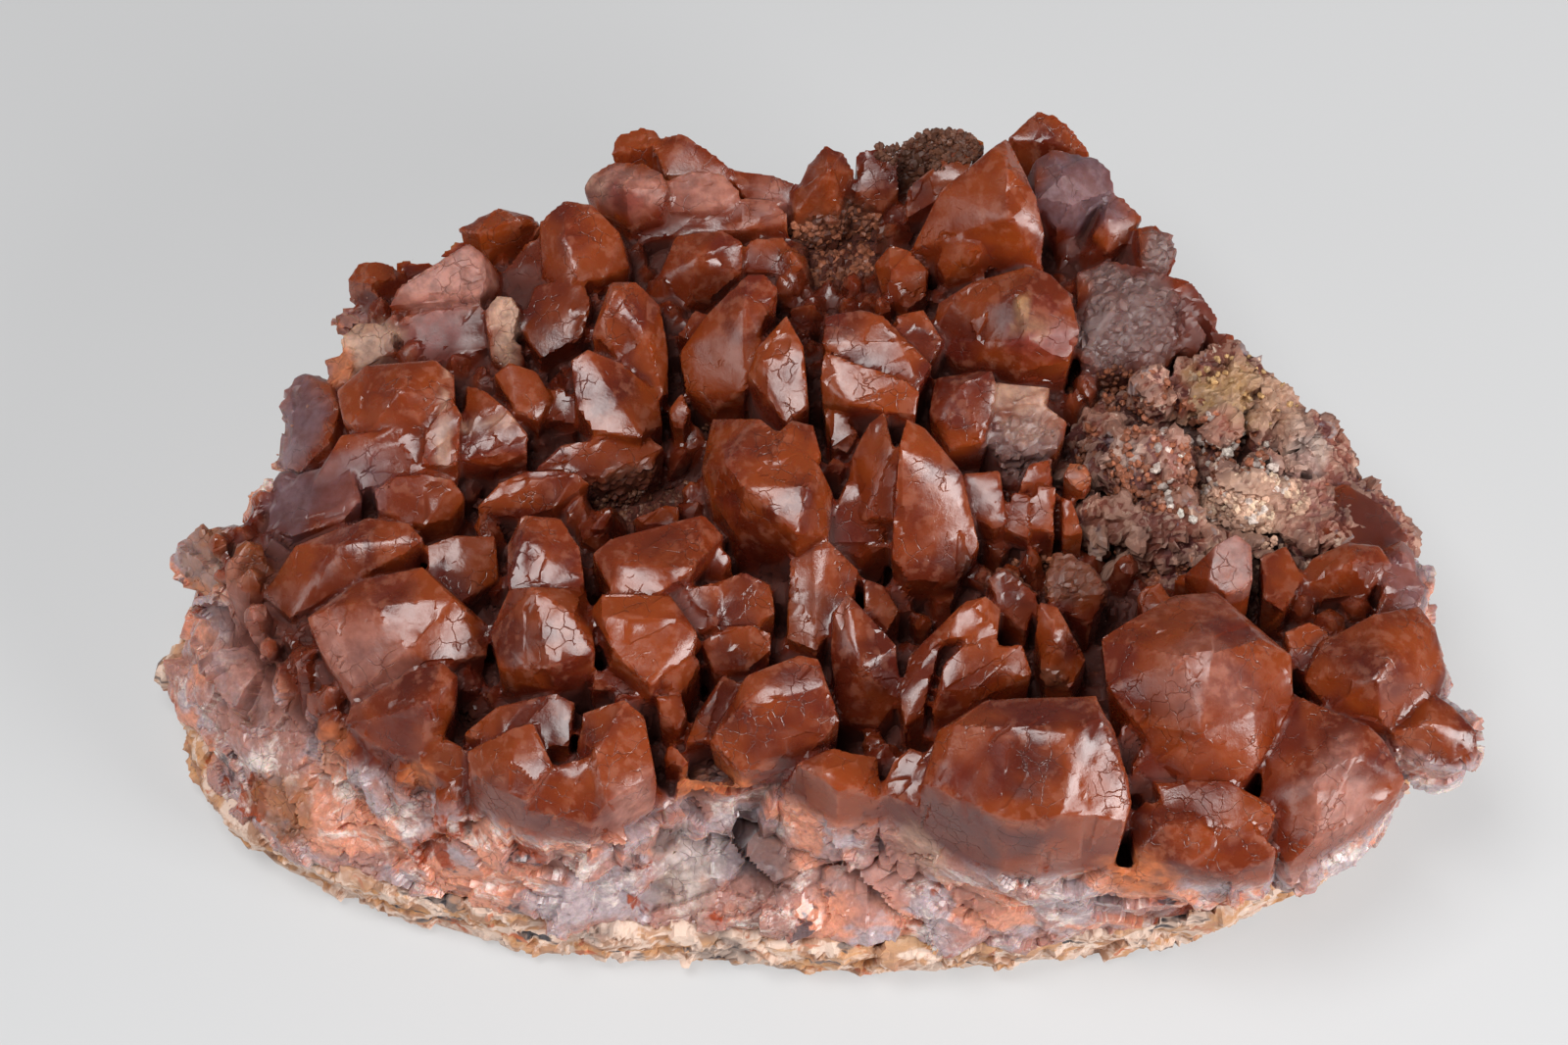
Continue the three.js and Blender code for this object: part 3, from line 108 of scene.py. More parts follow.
# Coloured places: as seen u, v, then half width, half depth, tint and strength.
CRUST_ZONES = [
    (-49, 30, 8, 6, "pink", 0.8), (-49, 21, 6, 4, "crimson", 0.6), (-41, 22, 2.6, 6, "cream", 0.9),
    (-59, 19, 5, 4.5, "cream", 0.95), (-62, 15, 3.2, 3, "orange", 0.9), (-26, 46, 6, 4, "pink", 0.7),
    (-26, 42, 3.4, 3, "crimson", 0.8), (-15, 45, 6, 4.4, "pink", 0.55), (-31, 47, 3, 5, "cream", 0.5),
    (-7, 44, 3, 4, "pink", 0.4), (15, 50, 9, 4, "earth", 0.9), (34, 46, 8, 6, "lilac", 0.75),
    (44, 34, 3.4, 3, "grey", 0.8), (27, 24, 3, 2, "ochre", 0.9), (28, 20, 5, 5, "crimson", 0.6),
    (40, 24, 9, 9, "grey", 0.75), (49, 23, 5, 7, "maroon", 0.7), (-66, 8, 5, 8, "lilac", 0.7),
    (-60, -3, 7, 6, "lilac", 0.4), (-67, -7, 4, 6, "lilac", 0.75), (-77, -14, 4, 6, "amber", 0.6),
    (-70, -14, 5, 4, "amber", 0.4), (-48, 6, 1, 7, "cream", 0.6), (-42, 7, 5, 1, "cream", 0.4),
    (-24, -5, 8, 5, "earth", 0.8), (26, 11, 5, 4, "cream", 0.6), (25, 4, 6, 4, "grey", 0.7),
    (30, -14, 14, 4, "earth", 0.7), (2, 36, 8, 8, "earth", 0.8), (32, -1.5, 2, 2, "orange", 0.7),
    (-71, -28, 8, 12, "pink", 0.6), (-44, -39, 3, 2.6, "earth", 0.9), (-49, -46, 3, 1.4, "orange", 0.8),
    (-60, -41, 3, 3, "orange", 0.6), (-57, -28, 7, 6, "pink", 0.35), (-23, -50, 4, 6, "pink", 0.7),
    (-14, -48, 5, 3, "orange", 1), (38, -60, 6, 2.4, "orange", 0.9), (63, -50, 5, 8, "pink", 0.5),
    (73, -17, 4, 5, "lilac", 0.45), (68, -7, 7, 5, "maroon", 0.7),
    (28, -32, 3, 3, "earth", 0.7), (-17, -60, 5, 7, "white", 0.7), (5, -60, 8, 6, "pink", 0.5),
    (12, -57, 4, 6, "cream", 0.6), (-19, -55, 3, 3, "smoke", 0.8), (-8, -57, 7, 6, "smoke", 0.7),
    (-65, -50, 6, 5, "amber", 0.7), (-76, -44, 5, 4, "cream", 0.6), (18, -64, 4, 4, "pink", 0.7),
    (48, -31, 8, 5, "pink", 0.3), (40, -65, 3, 2, "maroon", 0.7),
]
ROCK_ZONES = [
    (52, 12, 7, 5, "ochre", 0.8), (58, 9, 4, 5, "cream", 0.7), (40, 8, 6, 5, "maroon", 0.8),
    (34, -2, 5, 5, "maroon", 0.7), (46, 2, 5, 5, "pink", 0.6), (61, 2, 4, 4, "white", 0.8),
    (56, 1, 3, 2.4, "white", 1), (54, -6, 7, 5, "cream", 0.7), (60, -4, 5, 7, "pink", 0.5),
    (40, -8, 6, 5, "maroon", 0.6), (50, -14, 5, 3, "cream", 0.6), (38, 2, 3, 3, "white", 0.5),
    (66, -5, 5, 6, "maroon", 0.7), (44, -4, 4, 3, "orange", 0.4), (36, -12, 8, 3, "earth", 0.7),
    (-32, -65, 4, 3, "orange", 0.9), (-28, -67, 4, 2, "white", 0.8), (-38, -63, 7, 1.6, "smoke", 0.8),
    (-8, -67, 13, 2.4, "smoke", 0.7), (10, -67, 6, 3, "ochre", 0.9), (-26, -65, 3, 2, "ochre", 0.9),
]


# ---------------------------------------------------------------- noise
def hashed(places, seed):
    """Repeatable numbers from 0 to 1 for rows of whole numbers."""
    n = places.astype(np.int64).astype(np.uint32)
    h = n[:, 0] * np.uint32(73856093) ^ n[:, 1] * np.uint32(19349663) ^ n[:, 2] * np.uint32(83492791)
    h ^= np.uint32((seed * 2654435761) & 0xFFFFFFFF)
    h = (h ^ (h >> np.uint32(13))) * np.uint32(1274126177)
    h = (h ^ (h >> np.uint32(16))) * np.uint32(2246822519)
    h ^= h >> np.uint32(15)
    return (h & np.uint32(0xFFFFFF)).astype(np.float64) / 0x1000000


def smooth_noise(points, size, seed):
    """Smooth noise from -1 to 1 with lumps of the given size."""
    p = points / size
    base = np.floor(p)
    t = p - base
    t = t * t * (3 - 2 * t)
    total = np.zeros(len(p))
    for i in (0, 1):
        for j in (0, 1):
            for k in (0, 1):
                share = abs(1 - i - t[:, 0]) * abs(1 - j - t[:, 1]) * abs(1 - k - t[:, 2])
                total += share * hashed(base + (i, j, k), seed)
    return total * 2 - 1


def layered_noise(points, size, seed, layers=3):
    total = np.zeros(len(points))
    for layer in range(layers):
        total += smooth_noise(points, size / 2**layer, seed + layer) / 2**layer
    return total / 1.75


def nearest_cells(points, size, seed):
    """Distance to the nearest and next of scattered seeds, the nearest seed and its number."""
    p = points / size
    base = np.floor(p)
    first = np.full(len(p), 9.0)
    second = np.full(len(p), 9.0)
    place = np.zeros_like(p)
    number = np.zeros(len(p))
    for i in (-1, 0, 1):
        for j in (-1, 0, 1):
            for k in (-1, 0, 1):
                cell = base + (i, j, k)
                spot = cell + np.stack([hashed(cell, seed + axis) for axis in range(3)], 1)
                away = np.linalg.norm(p - spot, axis=1)
                nearer = away < first
                second = np.where(nearer, first, np.minimum(second, away))
                first = np.where(nearer, away, first)
                place[nearer] = spot[nearer]
                number[nearer] = hashed(cell, seed + 7)[nearer]
    return first, second, place * size, number


def rise(value, low, high):
    t = np.clip((value - low) / (high - low), 0, 1)
    return t * t * (3 - 2 * t)


# ---------------------------------------------------------------- meshes
def arrays_of(mesh):
    mesh.calc_loop_triangles()
    points = np.empty(len(mesh.vertices) * 3)
    mesh.vertices.foreach_get("co", points)
    triangles = np.empty(len(mesh.loop_triangles) * 3, int)
    mesh.loop_triangles.foreach_get("vertices", triangles)
    return points.reshape(-1, 3), triangles.reshape(-1, 3)


def new_object(name, points, faces):
    mesh = bpy.data.meshes.new(name)
    mesh.from_pydata(points.tolist(), [], faces.tolist() if isinstance(faces, np.ndarray) else faces)
    made = bpy.data.objects.new(name, mesh)
    bpy.context.scene.collection.objects.link(made)
    return made


def modified(points, faces, kind, **settings):
    """The mesh that a modifier makes of these points and faces."""
    work = new_object("work", points, faces)
    modifier = work.modifiers.new("step", kind)
    for key, value in settings.items():
        setattr(modifier, key, value)
    made = bpy.data.meshes.new_from_object(work.evaluated_get(bpy.context.evaluated_depsgraph_get()))
    result = arrays_of(made)
    spare = work.data
    bpy.data.objects.remove(work)
    bpy.data.meshes.remove(spare)
    bpy.data.meshes.remove(made)
    return result


def point_normals(points, triangles):
    a, b, c = (points[triangles[:, k]] for k in range(3))
    flat = np.cross(b - a, c - a)
    total = np.stack([
        sum(np.bincount(triangles[:, k], flat[:, axis], len(points)) for k in range(3))
        for axis in range(3)
    ], 1)
    return total / np.maximum(np.linalg.norm(total, axis=1, keepdims=True), 1e-12)


def relaxed(points, triangles, rounds):
    """The points after they are drawn to their neighbours' middle again and again."""
    pairs = np.concatenate([triangles[:, [0, 1]], triangles[:, [1, 2]], triangles[:, [2, 0]]])
    count = np.maximum(np.bincount(pairs[:, 0], minlength=len(points)), 1)
    now = points.copy()
    for _ in range(rounds):
        now = np.stack([
            np.bincount(pairs[:, 0], now[pairs[:, 1], axis], len(points)) / count for axis in range(3)
        ], 1)
    return now


class Source:
    """The CAD faces that a surface grew from, with a number for each flat face."""

    def __init__(self, points, triangles):
        self.tree = BVHTree.FromPolygons(points.tolist(), triangles.tolist())
        a, b, c = (points[triangles[:, k]] for k in range(3))
        flat = np.cross(b - a, c - a)
        self.normals = flat / np.maximum(np.linalg.norm(flat, axis=1, keepdims=True), 1e-12)
        reach = np.einsum("ij,ij->i", self.normals, a)
        key = np.round(np.column_stack([self.normals * 40, reach * 2]))
        _, self.planes = np.unique(key, axis=0, return_inverse=True)
        self.planes = self.planes.reshape(-1)

    def nearest(self, points):
        found = [self.tree.find_nearest(p) for p in points.tolist()]
        index = np.array([hit[2] for hit in found])
        return self.normals[index], self.planes[index]

    def struck(self, u, v):
        """The place where the line of sight through (u, v) meets the surface, or None."""
        through = np.array([u + SEEN_SHIFT[0], v + SEEN_SHIFT[1], SEEN_LEVEL])
        hit = self.tree.ray_cast(Vector(EYE), Vector(through - EYE).normalized())
        return None if hit[0] is None else np.array(hit[0])

    def seen(self, u, v):
        """The struck place, or the one at the seen level where nothing is struck."""
        place = self.struck(u, v)
        return np.array([u + SEEN_SHIFT[0], v + SEEN_SHIFT[1], SEEN_LEVEL]) if place is None else place

    def top(self, x, y):
        """The height of the surface at a place in plan; below the table where there is none."""
        hit = self.tree.ray_cast(Vector((x, y, 90)), Vector((0, 0, -1)))
        return hit[0][2] if hit[0] is not None else -1.0


def inside_rim(points):
    """Distance inside the wall's rim in plan; negative outside it."""
    p = points[:, :2]
    nearest = np.full(len(p), 1e9)
    crossings = np.zeros(len(p), int)
    for a, b in zip(RIM, np.roll(RIM, -1, axis=0)):
        edge = b - a
        t = np.clip(((p - a) @ edge) / (edge @ edge), 0, 1)
        nearest = np.minimum(nearest, np.linalg.norm(p - a - t[:, None] * edge, axis=1))
        spans = (a[1] > p[:, 1]) != (b[1] > p[:, 1])
        rise_y = np.where(abs(b[1] - a[1]) < 1e-9, 1e-9, b[1] - a[1])
        crossings += spans & (p[:, 0] < (b[0] - a[0]) * (p[:, 1] - a[1]) / rise_y + a[0])
    return np.where(crossings % 2 == 1, nearest, -nearest)


def ground_height(y):
    """The height of the crust's ground between its crystals."""
    return FLOOR_LEVEL + FLOOR_SLOPE * y


# ---------------------------------------------------------------- surface relief
def face_frame(points, normals, planes):
    """Places along and across each flat face, set apart from face to face."""
    down = np.array([0.0, 0.0, -1.0]) + normals * normals[:, 2:3]
    length = np.linalg.norm(down, axis=1, keepdims=True)
    down = np.where(length > 0.05, down / np.maximum(length, 1e-9), np.array([0.8, -0.6, 0.0]))
    side = np.cross(normals, down)
    apart = planes[:, None] * np.array([17.3, 31.1, 7.7])
    flat = np.stack([
        np.einsum("ij,ij->i", points, down),
        np.einsum("ij,ij->i", points, side),
        np.zeros(len(points)),
    ], 1)
    return flat + apart


def growth_steps(points, normals, planes):
    """Shallow ledges of parallel growth on the crystal faces."""
    flat = face_frame(points, normals, planes)
    stretched = flat / np.array([1.7, 1.0, 1.0])
    _, _, _, broad = nearest_cells(stretched, 6.5, 3)
    _, _, _, narrow = nearest_cells(stretched, 2.4, 23)
    broad_step = -0.16 * rise(broad, 0.82, 0.83)
    narrow_step = -0.07 * rise(narrow, 0.86, 0.87)
    return broad_step + narrow_step * rise(broad, 0.5, 0.51)


def fracture(points, size, seed, tilt):
    """Faces of a broken surface: each cell is a plane of its own tilt."""
    bent = points + 0.12 * size * np.stack([smooth_noise(points, size, seed + 50 + k) for k in range(3)], 1)
    _, _, place, number = nearest_cells(bent, size, seed)
    keys = np.round(place * 50)
    lean = np.stack([hashed(keys, seed + 11 + k) for k in range(3)], 1) * 2 - 1
    return tilt * np.einsum("ij,ij->i", points - place, lean) + 0.12 * tilt * size * (number * 2 - 1)


def grains(points, size, seed):
    """Rounded grains packed together, from 0 between them to 1 on top."""
    first, second, _, number = nearest_cells(points, size, seed)
    return rise(second - first, 0, 0.45) * (0.4 + 0.6 * number)


def blobs(source, zones, points):
    """For each zone, how far into it the points are, with ragged edges."""
    ragged = layered_noise(points, 3.2, 91)
    for u, v, wide, deep, tint, strength in zones:
        middle = source.seen(u, v)
        away = (points - middle) / np.array([wide, deep / 0.82, max(wide, deep)])
        inside = np.linalg.norm(away, axis=1) + 0.55 * ragged
        yield tint, strength * (1 - rise(inside, 0.55, 1.05))


def crust_relief(points, normals, planes, source):
    wall = wall_share(points, normals)
    rough = np.zeros(len(points))
    for tint, share in blobs(source, CRUST_ZONES, points):
        if tint in ("earth", "grey"):
            rough = np.maximum(rough, share)
    steps = growth_steps(points, normals, planes)
    face = steps + 0.07 * smooth_noise(points, 7, 5) + 0.02 * smooth_noise(points, 1.4, 8)
    broken = fracture(points, 12.0, 31, 0.20) + fracture(points, 5.5, 37, 0.22)
    broken += fracture(points, 2.2, 39, 0.16)
    crumbly = 0.9 * grains(points, 1.5, 61) + 0.5 * layered_noise(points, 2.4, 65)
    relief = face * (1 - wall) + broken * wall
    rough = np.maximum(rough, floor_share(points, normals))
    return relief * (1 - rough) + (0.3 * relief + crumbly) * rough


def floor_share(points, normals):
    """1 on the rough ground between the crystals."""
    height = points[:, 2] - ground_height(points[:, 1])
    return (1 - rise(height, 0.3, 1.6)) * rise(normals[:, 2], 0.8, 0.95) * rise(points[:, 2], 22, 24)


def wall_share(points, normals):
    """1 on the broken wall, 0 on the grown crystals."""
    inner = inside_rim(points)
    low = 1 - rise(points[:, 2] + 1.5 * layered_noise(points, 5, 71), 25.5, 28.5)
    outside = 1 - rise(inner, 1.5, 4.5)
    sheer = (1 - rise(inner, 0.5, 2.5)) * (1 - rise(normals[:, 2], 0.1, 0.35))
    front = 1 - rise(points[:, 1] - 0.25 * points[:, 0], -38, -30)
    high = 1 - rise(points[:, 2], 27, 31)
    return np.clip(np.maximum(low * outside, sheer * front * high), 0, 1)


def rock_relief(points, normals, planes, source):
    coarse = 0.35 * grains(points, 1.9, 41) + 0.40 * grains(points, 1.0, 43)
    coarse += fracture(points, 4.5, 55, 0.36) + fracture(points, 1.9, 57, 0.26)
    top = rise(points[:, 2], BAND_TOP, BAND_TOP + 6)
    band = fracture(points, 6.0, 47, 0.20) + fracture(points, 2.4, 59, 0.26) + 0.3 * grains(points, 1.2, 49)
    relief = band * (1 - top) + (coarse + 0.5 * layered_noise(points, 4, 53)) * top
    join = rise(points[:, 2], 5, 7.5) * (1 - rise(points[:, 2], 14, 18))
    return relief + 0.5 * join


def settled(points):
    """Keeps the resting face flat and everything on or above it."""
    return np.column_stack([points[:, :2], np.maximum(points[:, 2], 0)])


def refined(source_points, source_triangles, relief, count, voxel=VOXEL):
    """The CAD surface cut fine, given its relief, and thinned to a triangle count."""
    points, triangles = modified(
        source_points, source_triangles, "REMESH", mode="VOXEL", voxel_size=voxel
    )
    source = Source(source_points, source_triangles)
    normals, planes = source.nearest(points)
    shift = relief(points, normals, planes, source)
    outward = point_normals(points, triangles)
    free = rise(points[:, 2], 0.15, 1.6)
    moved = settled(points + outward * (shift * free)[:, None])
    ratio = min(1.0, count / len(triangles))
    points, triangles = modified(moved, triangles, "DECIMATE", ratio=ratio, use_collapse_triangulate=True)
    return points, triangles, source


# ---------------------------------------------------------------- marks for the materials
def add_values(mesh, name, values):
    layer = mesh.attributes.new(name, "FLOAT", "POINT")
    layer.data.foreach_set("value", values.astype(np.float32))


def add_tint(mesh, colours, share):
    layer = mesh.attributes.new("tint", "FLOAT_COLOR", "POINT")
    layer.data.foreach_set("color", np.column_stack([colours, share]).astype(np.float32).ravel())


def marked(name, points, triangles, source, zones):
    made = new_object(name, points / MM, triangles)
    mesh = made.data
    mesh.polygons.foreach_set("use_smooth", np.ones(len(mesh.polygons), bool))
    mesh.set_sharp_from_angle(angle=CRISP_EDGE)
    normals = point_normals(points, triangles)
    fine = relaxed(points, triangles, 3)
    broad = relaxed(fine, triangles, 50)
    flat_normals, planes = source.nearest(points)
    key = np.stack([planes, planes * 0, planes * 0], 1)
    add_values(mesh, "ridge", -np.einsum("ij,ij->i", fine - points, normals))
    add_values(mesh, "hollow", np.einsum("ij,ij->i", broad - points, normals))
    add_values(mesh, "face", hashed(key, 5))
    add_values(mesh, "wall", wall_share(points, flat_normals))
    # Painted shade: a mask that darkens the crystals' lower parts near the ground between them.
    shade_near_ground = 1 - rise(points[:, 2] - ground_height(points[:, 1]), 0, SHADE_DEPTH)
    add_values(mesh, "depth", shade_near_ground * rise(inside_rim(points), 2.5, 7.0))
    colours = np.zeros((len(points), 3))
    share = np.zeros(len(points))
    for tint, amount in blobs(source, zones, points):
        colours += (np.array(TINTS[tint]) - colours) * np.where(share > 0, amount, 1)[:, None] * (amount > 0)[:, None]
        share = np.maximum(share, amount)
    add_tint(mesh, colours, share)
    mesh.update()
    return made


# ---------------------------------------------------------------- materials
class Shader:
    """A node material, built in short calls."""

    def __init__(self, name):
        self.material = bpy.data.materials.new(name)
        self.material.use_nodes = True
        self.tree = self.material.node_tree
        self.surface = self.tree.nodes["Principled BSDF"]
        self.place = self.tree.nodes.new("ShaderNodeTexCoord").outputs["Object"]

    def join(self, value, socket):
        if isinstance(value, bpy.types.NodeSocket):
            self.tree.links.new(value, socket)
        else:
            if isinstance(value, tuple) and len(value) == 3 and len(socket.default_value) == 4:
                value = (*value, 1)
            socket.default_value = value

    def noise(self, size, detail=3, rough=0.55, stretch=None, bend=0.0):
        node = self.tree.nodes.new("ShaderNodeTexNoise")
        self.join(self.stretched(stretch), node.inputs["Vector"])
        node.inputs["Scale"].default_value = MM / size
        node.inputs["Detail"].default_value = detail
        node.inputs["Roughness"].default_value = rough
        node.inputs["Distortion"].default_value = bend
        return node.outputs["Fac"]

    def cells(self, size, feature="F1", output="Distance", stretch=None, bend=0.0):
        node = self.tree.nodes.new("ShaderNodeTexVoronoi")
        node.feature = feature
        place = self.stretched(stretch)
        if bend:
            place = self.bent(place, size, bend)
        self.join(place, node.inputs["Vector"])
        node.inputs["Scale"].default_value = MM / size
        return node.outputs[output]

    def bent(self, place, size, bend):
        noise = self.tree.nodes.new("ShaderNodeTexNoise")
        self.join(place, noise.inputs["Vector"])
        noise.inputs["Scale"].default_value = MM / size
        scaled = self.tree.nodes.new("ShaderNodeVectorMath")
        scaled.operation = "MULTIPLY_ADD"
        self.join(noise.outputs["Color"], scaled.inputs[0])
        scaled.inputs[1].default_value = (bend * size / MM,) * 3
        self.join(place, scaled.inputs[2])
        return scaled.outputs[0]

    def stretched(self, stretch):
        if stretch is None:
            return self.place
        node = self.tree.nodes.new("ShaderNodeMapping")
        self.join(self.place, node.inputs["Vector"])
        node.inputs["Scale"].default_value = stretch
        return node.outputs[0]

    def value(self, name):
        node = self.tree.nodes.new("ShaderNodeAttribute")
        node.attribute_name = name
        return node.outputs["Fac"]

    def tint(self):
        node = self.tree.nodes.new("ShaderNodeAttribute")
        node.attribute_name = "tint"
        return node.outputs["Color"], node.outputs["Alpha"]

    def maths(self, operation, a, b=0.0, c=0.0):
        node = self.tree.nodes.new("ShaderNodeMath")
        node.operation = operation
        for socket, value in zip(node.inputs, (a, b, c)):
            self.join(value, socket)
        return node.outputs[0]

    def between(self, value, low, high, to_low=0.0, to_high=1.0):
        node = self.tree.nodes.new("ShaderNodeMapRange")
        node.interpolation_type = "SMOOTHSTEP"
        for socket, part in zip(node.inputs, (value, low, high, to_low, to_high)):
            self.join(part, socket)
        return node.outputs[0]

    def mix(self, share, a, b, blend="MIX"):
        node = self.tree.nodes.new("ShaderNodeMix")
        node.data_type = "RGBA"
        node.blend_type = blend
        self.join(share, node.inputs[0])
        self.join(a, node.inputs[6])
        self.join(b, node.inputs[7])
        return node.outputs[2]

    def grey(self, value):
        node = self.tree.nodes.new("ShaderNodeCombineColor")
        for socket in node.inputs[:3]:
            self.join(value, socket)
        return node.outputs[0]

    def bump(self, height, distance, strength, under=None):
        node = self.tree.nodes.new("ShaderNodeBump")
        node.inputs["Strength"].default_value = strength
        node.inputs["Distance"].default_value = distance / MM
        self.join(height, node.inputs["Height"])
        if under is not None:
            self.join(under, node.inputs["Normal"])
        return node.outputs[0]

    def put(self, name, value):
        self.join(value, self.surface.inputs[name])


def dust(shader, colour, amount=0.16):
    """Pale specks, in scattered patches."""
    specks = shader.between(shader.cells(0.8, bend=1.5), 0.04, 0.09, 1, 0)
    patches = shader.between(shader.noise(4.0), 0.5, 0.62)
    share = shader.maths("MULTIPLY", shader.maths("MULTIPLY", specks, patches), amount * 3)
    return shader.mix(share, colour, (0.50, 0.30, 0.22))


def crystal_colour(s, ridge, hollow, face):
    """Iron-stained quartz: rust and maroon, with a painted orange glow of light through its thin parts, and paler on
    its sharp edges.
    """
    body = s.mix(s.between(s.noise(15.0, 3), 0.38, 0.62), (0.094, 0.0115, 0.0042), (0.172, 0.0235, 0.0048))
    body = s.mix(s.maths("MULTIPLY", s.between(face, 0.4, 0.95), 0.6), body, (0.106, 0.0128, 0.0082))
    cloud = s.between(s.noise(4.5, 4, 0.6), 0.50, 0.74)
    body = s.mix(s.maths("MULTIPLY", cloud, 0.22), body, (0.22, 0.050, 0.028))
    # Painted light: an orange glow, as of light shining through, on the thin convex parts.
    thin = s.maths("MULTIPLY", s.between(hollow, -1.3, -0.15, 1, 0), s.between(s.noise(9.0, 2), 0.36, 0.60))
    body = s.mix(s.maths("MULTIPLY", thin, 0.62), body, (0.30, 0.054, 0.008))
    # Paler on the sharp edges, in patches.
    pale_ridge = s.maths("MULTIPLY", s.between(ridge, 0.08, 0.20), s.between(s.noise(1.6, 3), 0.48, 0.62))
    return s.mix(s.maths("MULTIPLY", pale_ridge, 0.30), body, (0.40, 0.15, 0.09))


def wall_colour(s):
    """Broken quartz: pinkish and lilac, smoky in places, with white feathering."""
    lilac = s.mix(
        s.between(s.noise(9.0, 5, 0.6, (1, 1, 1.5), 0.4), 0.44, 0.58), (0.44, 0.21, 0.17), (0.46, 0.35, 0.36)
    )
    pinkish = s.mix(s.between(s.noise(13.0, 4, 0.55, (1, 1, 1.2), 0.3), 0.51, 0.57), lilac, (0.68, 0.28, 0.18))
    rusty = s.mix(s.between(s.noise(10.0, 4, 0.6, None, 0.3), 0.61, 0.65), pinkish, (0.34, 0.065, 0.025))
    smoky = s.mix(s.between(s.noise(8.0, 4, 0.6, None, 0.3), 0.62, 0.66), rusty, (0.13, 0.070, 0.070))
    frost = s.between(s.noise(6.0, 6, 0.72, (1, 1, 1.3), 0.5), 0.52, 0.66)
    frosted = s.mix(s.maths("MULTIPLY", frost, 0.8), smoky, (0.88, 0.76, 0.70))
    grain = s.between(s.noise(0.7, 4, 0.7), 0.3, 0.7, 0.72, 1.12)
    return s.mix(1.0, frosted, s.grey(grain), "MULTIPLY")


def quartz_material():
    s = Shader("hematoid_quartz")
    ridge, hollow, face, wall = (s.value(key) for key in ("ridge", "hollow", "face", "wall"))
    body = s.mix(wall, crystal_colour(s, ridge, hollow, face), wall_colour(s))
    colour, share = s.tint()
    mottled = s.mix(s.between(s.noise(1.6, 4, 0.65), 0.3, 0.7), s.mix(0.6, colour, (0.05, 0.012, 0.008)), colour)
    body = s.mix(share, body, mottled)
    # Painted shade: darker low down near the ground between the crystals, less on the wall.
    low = s.maths("MULTIPLY", s.value("depth"), s.between(wall, 0.1, 0.6, 0.72, 0))
    body = s.mix(low, body, (0.085, 0.014, 0.006))
    # Painted shade: darker in the hollows and crevices, less on the wall.
    deep = s.maths("MULTIPLY", s.between(hollow, 0.25, 1.5), s.between(wall, 0.2, 0.8, 0.92, 0.5))
    body = s.mix(deep, body, (0.070, 0.014, 0.008))
    crack_place = s.cells(2.2, "DISTANCE_TO_EDGE", "Distance", None, 0.9)
    crack_zone = s.between(s.noise(6.0, 2), 0.50, 0.58)
    cracks = s.maths("MULTIPLY", s.between(crack_place, 0.0, 0.035, 1, 0), crack_zone)
    body = s.mix(s.maths("MULTIPLY", cracks, 0.5), body, (0.05, 0.010, 0.006))
    s.put("Base Color", dust(s, body))
    normal = s.bump(cracks, -0.12, 0.5)
    normal = s.bump(s.noise(0.9, 4, 0.6), 0.10, 0.35, normal)
    normal = s.bump(s.noise(0.22, 3, 0.6), 0.02, 0.4, normal)
    s.put("Normal", normal)
    gloss = s.between(s.noise(2.4, 4, 0.6), 0.35, 0.7, 0.19, 0.32)
    gloss = s.maths("ADD", gloss, s.maths("MULTIPLY", share, 0.32))
    s.put("Roughness", s.maths("ADD", gloss, s.maths("MULTIPLY", s.between(hollow, 0.15, 1.0), 0.5)))
    s.put("IOR", 1.544)
    s.put("Specular IOR Level", 0.42)
    s.put("Subsurface Weight", 0.30)
    s.put("Subsurface Radius", (1.0, 0.28, 0.10))
    s.put("Subsurface Scale", 2.4 / MM)
    return s.material


def band_colour(s):
    """The layer at the foot: ochre, cream and grey-black, with rusty spots."""
    body = s.mix(s.between(s.noise(8.0, 4, 0.6, (1, 1, 2.2), 0.5), 0.42, 0.58), (0.38, 0.18, 0.10), (0.60, 0.29, 0.12))
    body = s.mix(s.between(s.noise(6.0, 4, 0.6, (1, 1, 1.8), 0.8), 0.45, 0.55), body, (0.80, 0.60, 0.49))
    body = s.mix(s.between(s.noise(6.0, 3, 0.6, (0.6, 0.6, 2.8), 0.4), 0.60, 0.66), body, (0.075, 0.065, 0.070))
    return s.mix(s.between(s.noise(3.4, 4, 0.6, None, 0.8), 0.60, 0.68), body, (0.52, 0.13, 0.045))


def mound_colour(s):
    """The bare rock: maroon and brown, with pink, grey and pale pieces."""
    body = s.mix(s.between(s.noise(5.0, 5, 0.65, None, 0.6), 0.44, 0.56), (0.105, 0.022, 0.018), (0.24, 0.070, 0.042))
    body = s.mix(s.between(s.noise(3.0, 5, 0.65, None, 0.8), 0.57, 0.62), body, (0.46, 0.23, 0.17))
    body = s.mix(s.between(s.noise(4.4, 4, 0.6, None, 0.5), 0.62, 0.66), body, (0.20, 0.15, 0.17))
    body = s.mix(s.between(s.noise(2.6, 3, 0.6, None, 0.5), 0.66, 0.70), body, (0.46, 0.12, 0.045))
    return s.mix(s.between(s.noise(1.5, 3, 0.6, None, 0.5), 0.63, 0.69), body, (0.62, 0.45, 0.35))


